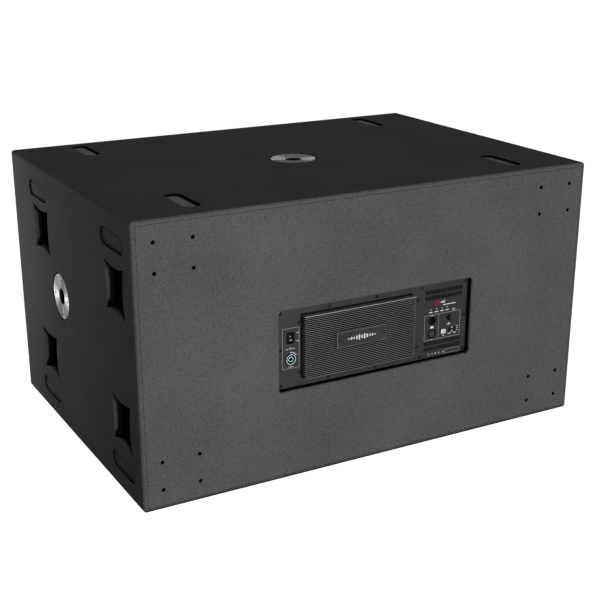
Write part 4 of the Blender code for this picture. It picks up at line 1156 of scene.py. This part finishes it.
def make_xlr_output():
    """The upper XLR socket: an open shell with three pins."""
    centre = seat("xlr_output")
    shell = [(0, 0.012), (0.0076, 0.012), (0.0078, -0.0012), (0.0082, -0.0016), (0.0090, -0.0016),
             (0.0096, -0.0010), (0.0096, 0.022), (0, 0.022)]
    spun("xlr_output_shell", shell, centre, "black_plastic", replaces=["xlr_output"])
    pin = [(0, -0.0004), (0.0007, -0.0002), (0.0012, 0.0006), (0.0012, 0.013), (0, 0.013)]
    pins = [turned(pin, "Y", (x, centre.y, z), 1, 20)
            for x, z in circle((centre.x, centre.z), 0.0038, 3, -90)]
    piece("xlr_output_pins", together(pins), "motor_steel")


def make_knob():
    """A fluted knob with a fine pale pointer."""
    start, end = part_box("gain_knob")
    x, y, z = seat("gain_knob")
    radius = (end.x - start.x) / 2
    tall = y - start.y
    flutes, points = 18, 144

    def ring(size, depth, out):
        turnings = []
        for i in range(points):
            angle = math.tau * i / points
            r = size - depth * (0.5 - 0.5 * math.cos(angle * flutes)) ** 2
            turnings.append((x + r * math.cos(angle), y - out, z + r * math.sin(angle)))
        return turnings

    steps = [(0.003, 0, -0.012), (0.003, 0, 0.0009), (radius - 0.0004, 0, 0.0009),
             (radius, 0, 0.0013), (radius, 0, 0.0030), (radius - 0.0004, 0.0004, 0.0036),
             (radius - 0.0010, 0.0007, tall - 0.0012), (radius - 0.0014, 0.0006, tall - 0.0004),
             (radius - 0.0019, 0.0002, tall), (radius - 0.0029, 0, tall),
             (radius - 0.0033, 0, tall - 0.0003)]
    body = loft([ring(*step) for step in steps])
    piece("gain_knob_fluted", body, "black_plastic", "knob", replaces=["gain_knob"])
    line = rounded_rectangle((x, z + radius * 0.55), 0.0008, radius * 0.50, 0.0003, 2)
    pointer = prism(line, "Y", y - tall - 0.00015, y - tall + 0.0004)
    piece("gain_knob_pointer", pointer, "ink_grey", "knob")


def make_data_socket():
    x, y, z = seat("usb_socket")
    mouth = [(x - 0.0040, z - 0.0034), (x + 0.0040, z - 0.0034), (x + 0.0040, z + 0.0018),
             (x + 0.0026, z + 0.0034), (x - 0.0026, z + 0.0034), (x - 0.0040, z + 0.0018)]
    outline = face_outline("usb_socket", 0.0012, 4, inset=0.0005)
    face = soft_block(outline, "Y", y + 0.015, -1, 0.0158, 0.0005)
    piece("usb_socket_face", face, "usb_white", replaces=["usb_socket"],
          cuts=[prism(mouth, "Y", y - 0.002, y + 0.010)])
    tongue = rounded_rectangle((x, z - 0.0004), 0.0052, 0.0030, 0.0003, 2)
    piece("usb_socket_tongue", prism(tongue, "Y", y + 0.0008, y + 0.0098), "usb_white")


def make_sliders():
    """Slide switches: a carrier behind the plate and a ridged nub that stands through its slot."""
    for node, body in (("phase_slider", "phase_switch"), ("filter_slider", "filter_switch")):
        start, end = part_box(node)
        at = from_plate(node)
        rear = plate_box[1].y + 0.0003
        nub = soft_block(rounded_rectangle(centre_across("Y", node), 0.0044, 0.0030, 0.0004, 3), "Y",
                         rear + 0.0004, -1, rear + 0.0004 - start.y, 0.0003)
        grooves = [plate_block((at[0], at[1] + step), (0.0060, 0.0003), 0.0030, -0.0014)
                   for step in (-0.0008, 0.0, 0.0008)]
        carrier = prism(face_outline(node, 0.0006, 2), "Y", rear, end.y)
        piece(node + "_ridged", carrier, "black_plastic", body, replaces=[node], joins=[nub], cuts=grooves)


def make_status_lights():
    lens = [(0, -0.0010)] + [(0.0012 * math.sin(t), -0.0010 * math.cos(t)) for t in (0.5, 1.0, 1.4)]
    lens += [(0.0013, 0.0), (0, 0.0)]
    domes = [turned(lens, "Y", on_plate((x, LIGHTS_Z)), 1, 24) for x in LIGHTS]
    red = domes.pop(2)
    piece("status_light_green", together(domes), "light_green")
    piece("status_light_red", red, "light_red")


# ------------------------------------------------------------------ printing on the plate
INK = 0.00012  # how far the printing stands off the plate


def ink_bar(along, up, width, height, radius=0.0):
    x, y, z = on_plate((along, up))
    radius = radius or min(width, height) * 0.3
    return prism(rounded_rectangle((x, z), width, height, radius, 2), "Y", y - INK, y + INK)


def ink_frame(at, width, height, line, radius=0.0015):
    x, y, z = on_plate(at)
    outline = rounded_rectangle((x, z), width, height, radius, 5)
    profile = [(0, 0), (0, 2 * INK), (-line, 2 * INK), (-line, 0)]
    return stack(outline, "Y", y - INK, 1, profile, joined=True)


def ink_arc(at, radius, start, end, line):
    x, y, z = on_plate(at)
    steps = 24
    inner = [(radius - line / 2, a) for a in range(steps + 1)]
    outer = [(radius + line / 2, a) for a in reversed(range(steps + 1))]
    outline = []
    for r, i in outer + inner:
        turn = math.radians(start + (end - start) * i / steps)
        outline.append((x + r * math.cos(turn), z + r * math.sin(turn)))
    return prism(outline, "Y", y - INK, y + INK)


def ink_text(at, body, size):
    """Plain figures in Blender's own typeface, centred on a point."""
    curve = bpy.data.curves.new("figures", "FONT")
    curve.body = body
    curve.size = size
    curve.align_x = "CENTER"
    curve.align_y = "CENTER"
    curve.extrude = INK
    obj = bpy.data.objects.new("figures", curve)
    bpy.context.scene.collection.objects.link(obj)
    graph = bpy.context.evaluated_depsgraph_get()
    mesh = bpy.data.meshes.new_from_object(obj.evaluated_get(graph))
    shape = bmesh.new()
    shape.from_mesh(mesh)
    bpy.data.objects.remove(obj)
    upright = Matrix.Translation(on_plate(at)) @ Matrix.Rotation(math.radians(90), 4, "X")
    return moved(shape, upright)


def make_printing():
    """Frames, scales and plain signs; no words."""
    rocker, inlet, knob = from_plate("rocker_bezel"), from_plate("power_inlet"), from_plate("gain_knob")
    line_in, line_out, data = from_plate("xlr_input"), from_plate("xlr_output"), from_plate("usb_socket")
    phase_x, filter_x = from_plate("phase_slider")[0], from_plate("filter_slider")[0]
    slide_z = slider_middle()
    faint = [ink_frame((-0.2041, 0.0), 0.0393, 0.088, 0.0007),
             ink_frame((0.1722, -0.0163), 0.0944, 0.0581, 0.0007),
             ink_bar(0.1625, -0.0163, 0.0006, 0.0575),
             ink_frame((0.2006, -0.0781), 0.0400, 0.0094, 0.0005, 0.003)]
    bars = [  # x, z, width, height and, where it isn't usual, corner radius
        (-0.1882, rocker[1] + 0.0088, 0.0042, 0.0016),
        (-0.1882, rocker[1] - 0.0088, 0.0042, 0.0016),
        (rocker[0], 0.0014, 0.0008, 0.0024),
        (rocker[0] - 0.0075, -0.0012, 0.0060, 0.0011),
        (rocker[0] + 0.0075, -0.0012, 0.0060, 0.0011),
        (inlet[0] + 0.0125, inlet[1] + 0.0078, 0.0030, 0.0012),
        (inlet[0] - 0.0045, inlet[1] - 0.0165, 0.0038, 0.0008),
        (inlet[0] + 0.0045, inlet[1] - 0.0165, 0.0038, 0.0008),
        (line_out[0], 0.0118, 0.0085, 0.0018),
        (line_in[0], (line_in[1] + line_out[1]) / 2, 0.0095, 0.0052, 0.0022),
        (line_in[0], line_in[1] - 0.0136, 0.0060, 0.0016),
        (0.1890, 0.0313, 0.0340, 0.0019),
        (data[0], data[1] - 0.0092, 0.0038, 0.0020),
        (phase_x, slide_z - 0.0092, 0.0085, 0.0019),
        (filter_x, slide_z - 0.0092, 0.0070, 0.0019),
        (0.1990, slide_z + 0.0036, 0.0042, 0.0015),
        (0.1990, slide_z - 0.0048, 0.0042, 0.0015),
        (knob[0] + 0.0004, knob[1] - 0.0126, 0.0028, 0.0014),
        (knob[0], knob[1] - 0.0152, 0.0088, 0.0018),
    ]
    bars += [(x, LIGHTS_Z - 0.0062, 0.0094, 0.0020) for x in LIGHTS]
    bars += [(filter_x + 0.0062, slide_z + step, 0.0034, 0.0013) for step in (-0.0046, 0.0, 0.0046)]
    bars += [(0.1668 + 0.0030 * i, 0.0385, 0.0018, 0.0030 + 0.0014 * i) for i in range(4)]
    bright = [ink_bar(*bar) for bar in bars]
    bright += [
        ink_arc((rocker[0], -0.0005), 0.0022, -55, 235, 0.0008),
        ink_arc(inlet, 0.0145, 35, 95, 0.0014),
        ink_arc((inlet[0], inlet[1] - 0.0165), 0.0016, 180, 540, 0.0006),
        ink_text((0.2012, LIGHTS_Z - 0.0080), "00", 0.0078),
    ]
    bright += [ink_frame((x, -0.0784), 0.0036, 0.0036, 0.0006, 0.0005) for x in (0.1394, 0.1565, 0.1769)]
    bright += [ink_arc((x, -0.0784), 0.0015, 0, 360, 0.0006) for x in (0.1481, 0.1662)]
    piece("plate_frames", together(faint), "ink_grey")
    piece("plate_signs", together(bright), "ink_white")
    piece("plate_accent", ink_bar(0.1570, 0.0375, 0.0138, 0.0102, 0.0024), "ink_red")


# ------------------------------------------------------------------ stage
def camera_choice(tree, seen, unseen):
    """A value that differs between what the camera sees directly and what lights the cabinet."""
    ray = tree.nodes.new("ShaderNodeLightPath")
    choice = tree.nodes.new("ShaderNodeMapRange")
    choice.inputs["To Min"].default_value = unseen
    choice.inputs["To Max"].default_value = seen
    tree.links.new(ray.outputs["Is Camera Ray"], choice.inputs["Value"])
    return choice.outputs[0]


def add_stage():
    """A pale floor under a white backdrop."""
    shape = bmesh.new()
    bmesh.ops.create_grid(shape, x_segments=1, y_segments=1, size=14)
    floor = link("floor", shape)
    made = Finish("floor", (0.80, 0.80, 0.80), 0.9)
    made.scale_colour(made.colour, made.math("MULTIPLY", made.remap(made.noise(3.0), 0.99, 1.01),
                                             camera_choice(made.tree, 1.0, 0.3)))
    made.set("Emission Color", (1, 1, 1, 1))
    made.set("Emission Strength", camera_choice(made.tree, 0.95, FLOOR_GLOW))
    floor.data.materials.append(made.material)
    world = bpy.data.worlds.new("studio")
    bpy.context.scene.world = world
    world.use_nodes = True
    background = world.node_tree.nodes["Background"]
    strength = camera_choice(world.node_tree, 1.05, SKY_GLOW)
    world.node_tree.links.new(strength, background.inputs["Strength"])
    background.inputs["Color"].default_value = (1, 1, 1, 1)


def add_light(name, place, aim, size, power):
    data = bpy.data.lights.new(name, "AREA")
    data.shape = "RECTANGLE"
    data.size, data.size_y = size
    data.energy = power
    lamp = bpy.data.objects.new(name, data)
    lamp.location = place
    lamp.rotation_mode = "QUATERNION"
    lamp.rotation_quaternion = (Vector(aim) - Vector(place)).to_track_quat("-Z", "Y")
    bpy.context.scene.collection.objects.link(lamp)


def add_camera():
    """A short telephoto view from behind, from the left and from above, with the frame shifted up."""
    data = bpy.data.cameras.new("camera")
    data.lens, data.sensor_width = 69.95, 36.0
    data.shift_x, data.shift_y = -0.0023, 0.0369
    camera = bpy.data.objects.new("camera", data)
    camera.location = (-1.2585, -2.3059, 1.1364)
    camera.rotation_mode = "QUATERNION"
    camera.rotation_quaternion = Vector((0.45856, 0.82251, -0.33646)).to_track_quat("-Z", "Y")
    bpy.context.scene.collection.objects.link(camera)
    bpy.context.scene.camera = camera


def dress_cad_nodes():
    """Nodes that keep their CAD shape take their finish from the slot in the record."""
    slots = {part["node"]: part["material_slot"] for part in frame["record"]["subparts"]}
    for name, node in frame["nodes"].items():
        if not node.hide_render:
            node.data.materials.clear()
            node.data.materials.append(MATERIALS[slots[name]])


make_cabinet()
make_handle_cups()
make_rear_panel()
make_pole_sockets()
make_front_grille()
make_heatsink()
make_driver("left_driver")
make_driver("right_driver")
make_plate()
make_nameplate()
make_rocker()
make_power_inlet()
make_xlr_input()
make_xlr_output()
make_knob()
make_data_socket()
make_sliders()
make_status_lights()
make_printing()
dress_cad_nodes()
add_stage()
add_light("key", (-0.65, -4.6, 0.95), (0.1, -0.3, 0.3), (1.8, 1.4), 191)
add_light("side", (-0.8, 0.75, 0.35), (-0.5, 0.2, 0.3), (0.3, 0.5), 2.15)
add_light("top", (0.5, 1.6, 2.9), (0.0, 0.1, 0.6), (0.6, 0.4), 9.8)
add_camera()
bpy.context.scene.view_settings.view_transform = "Standard"
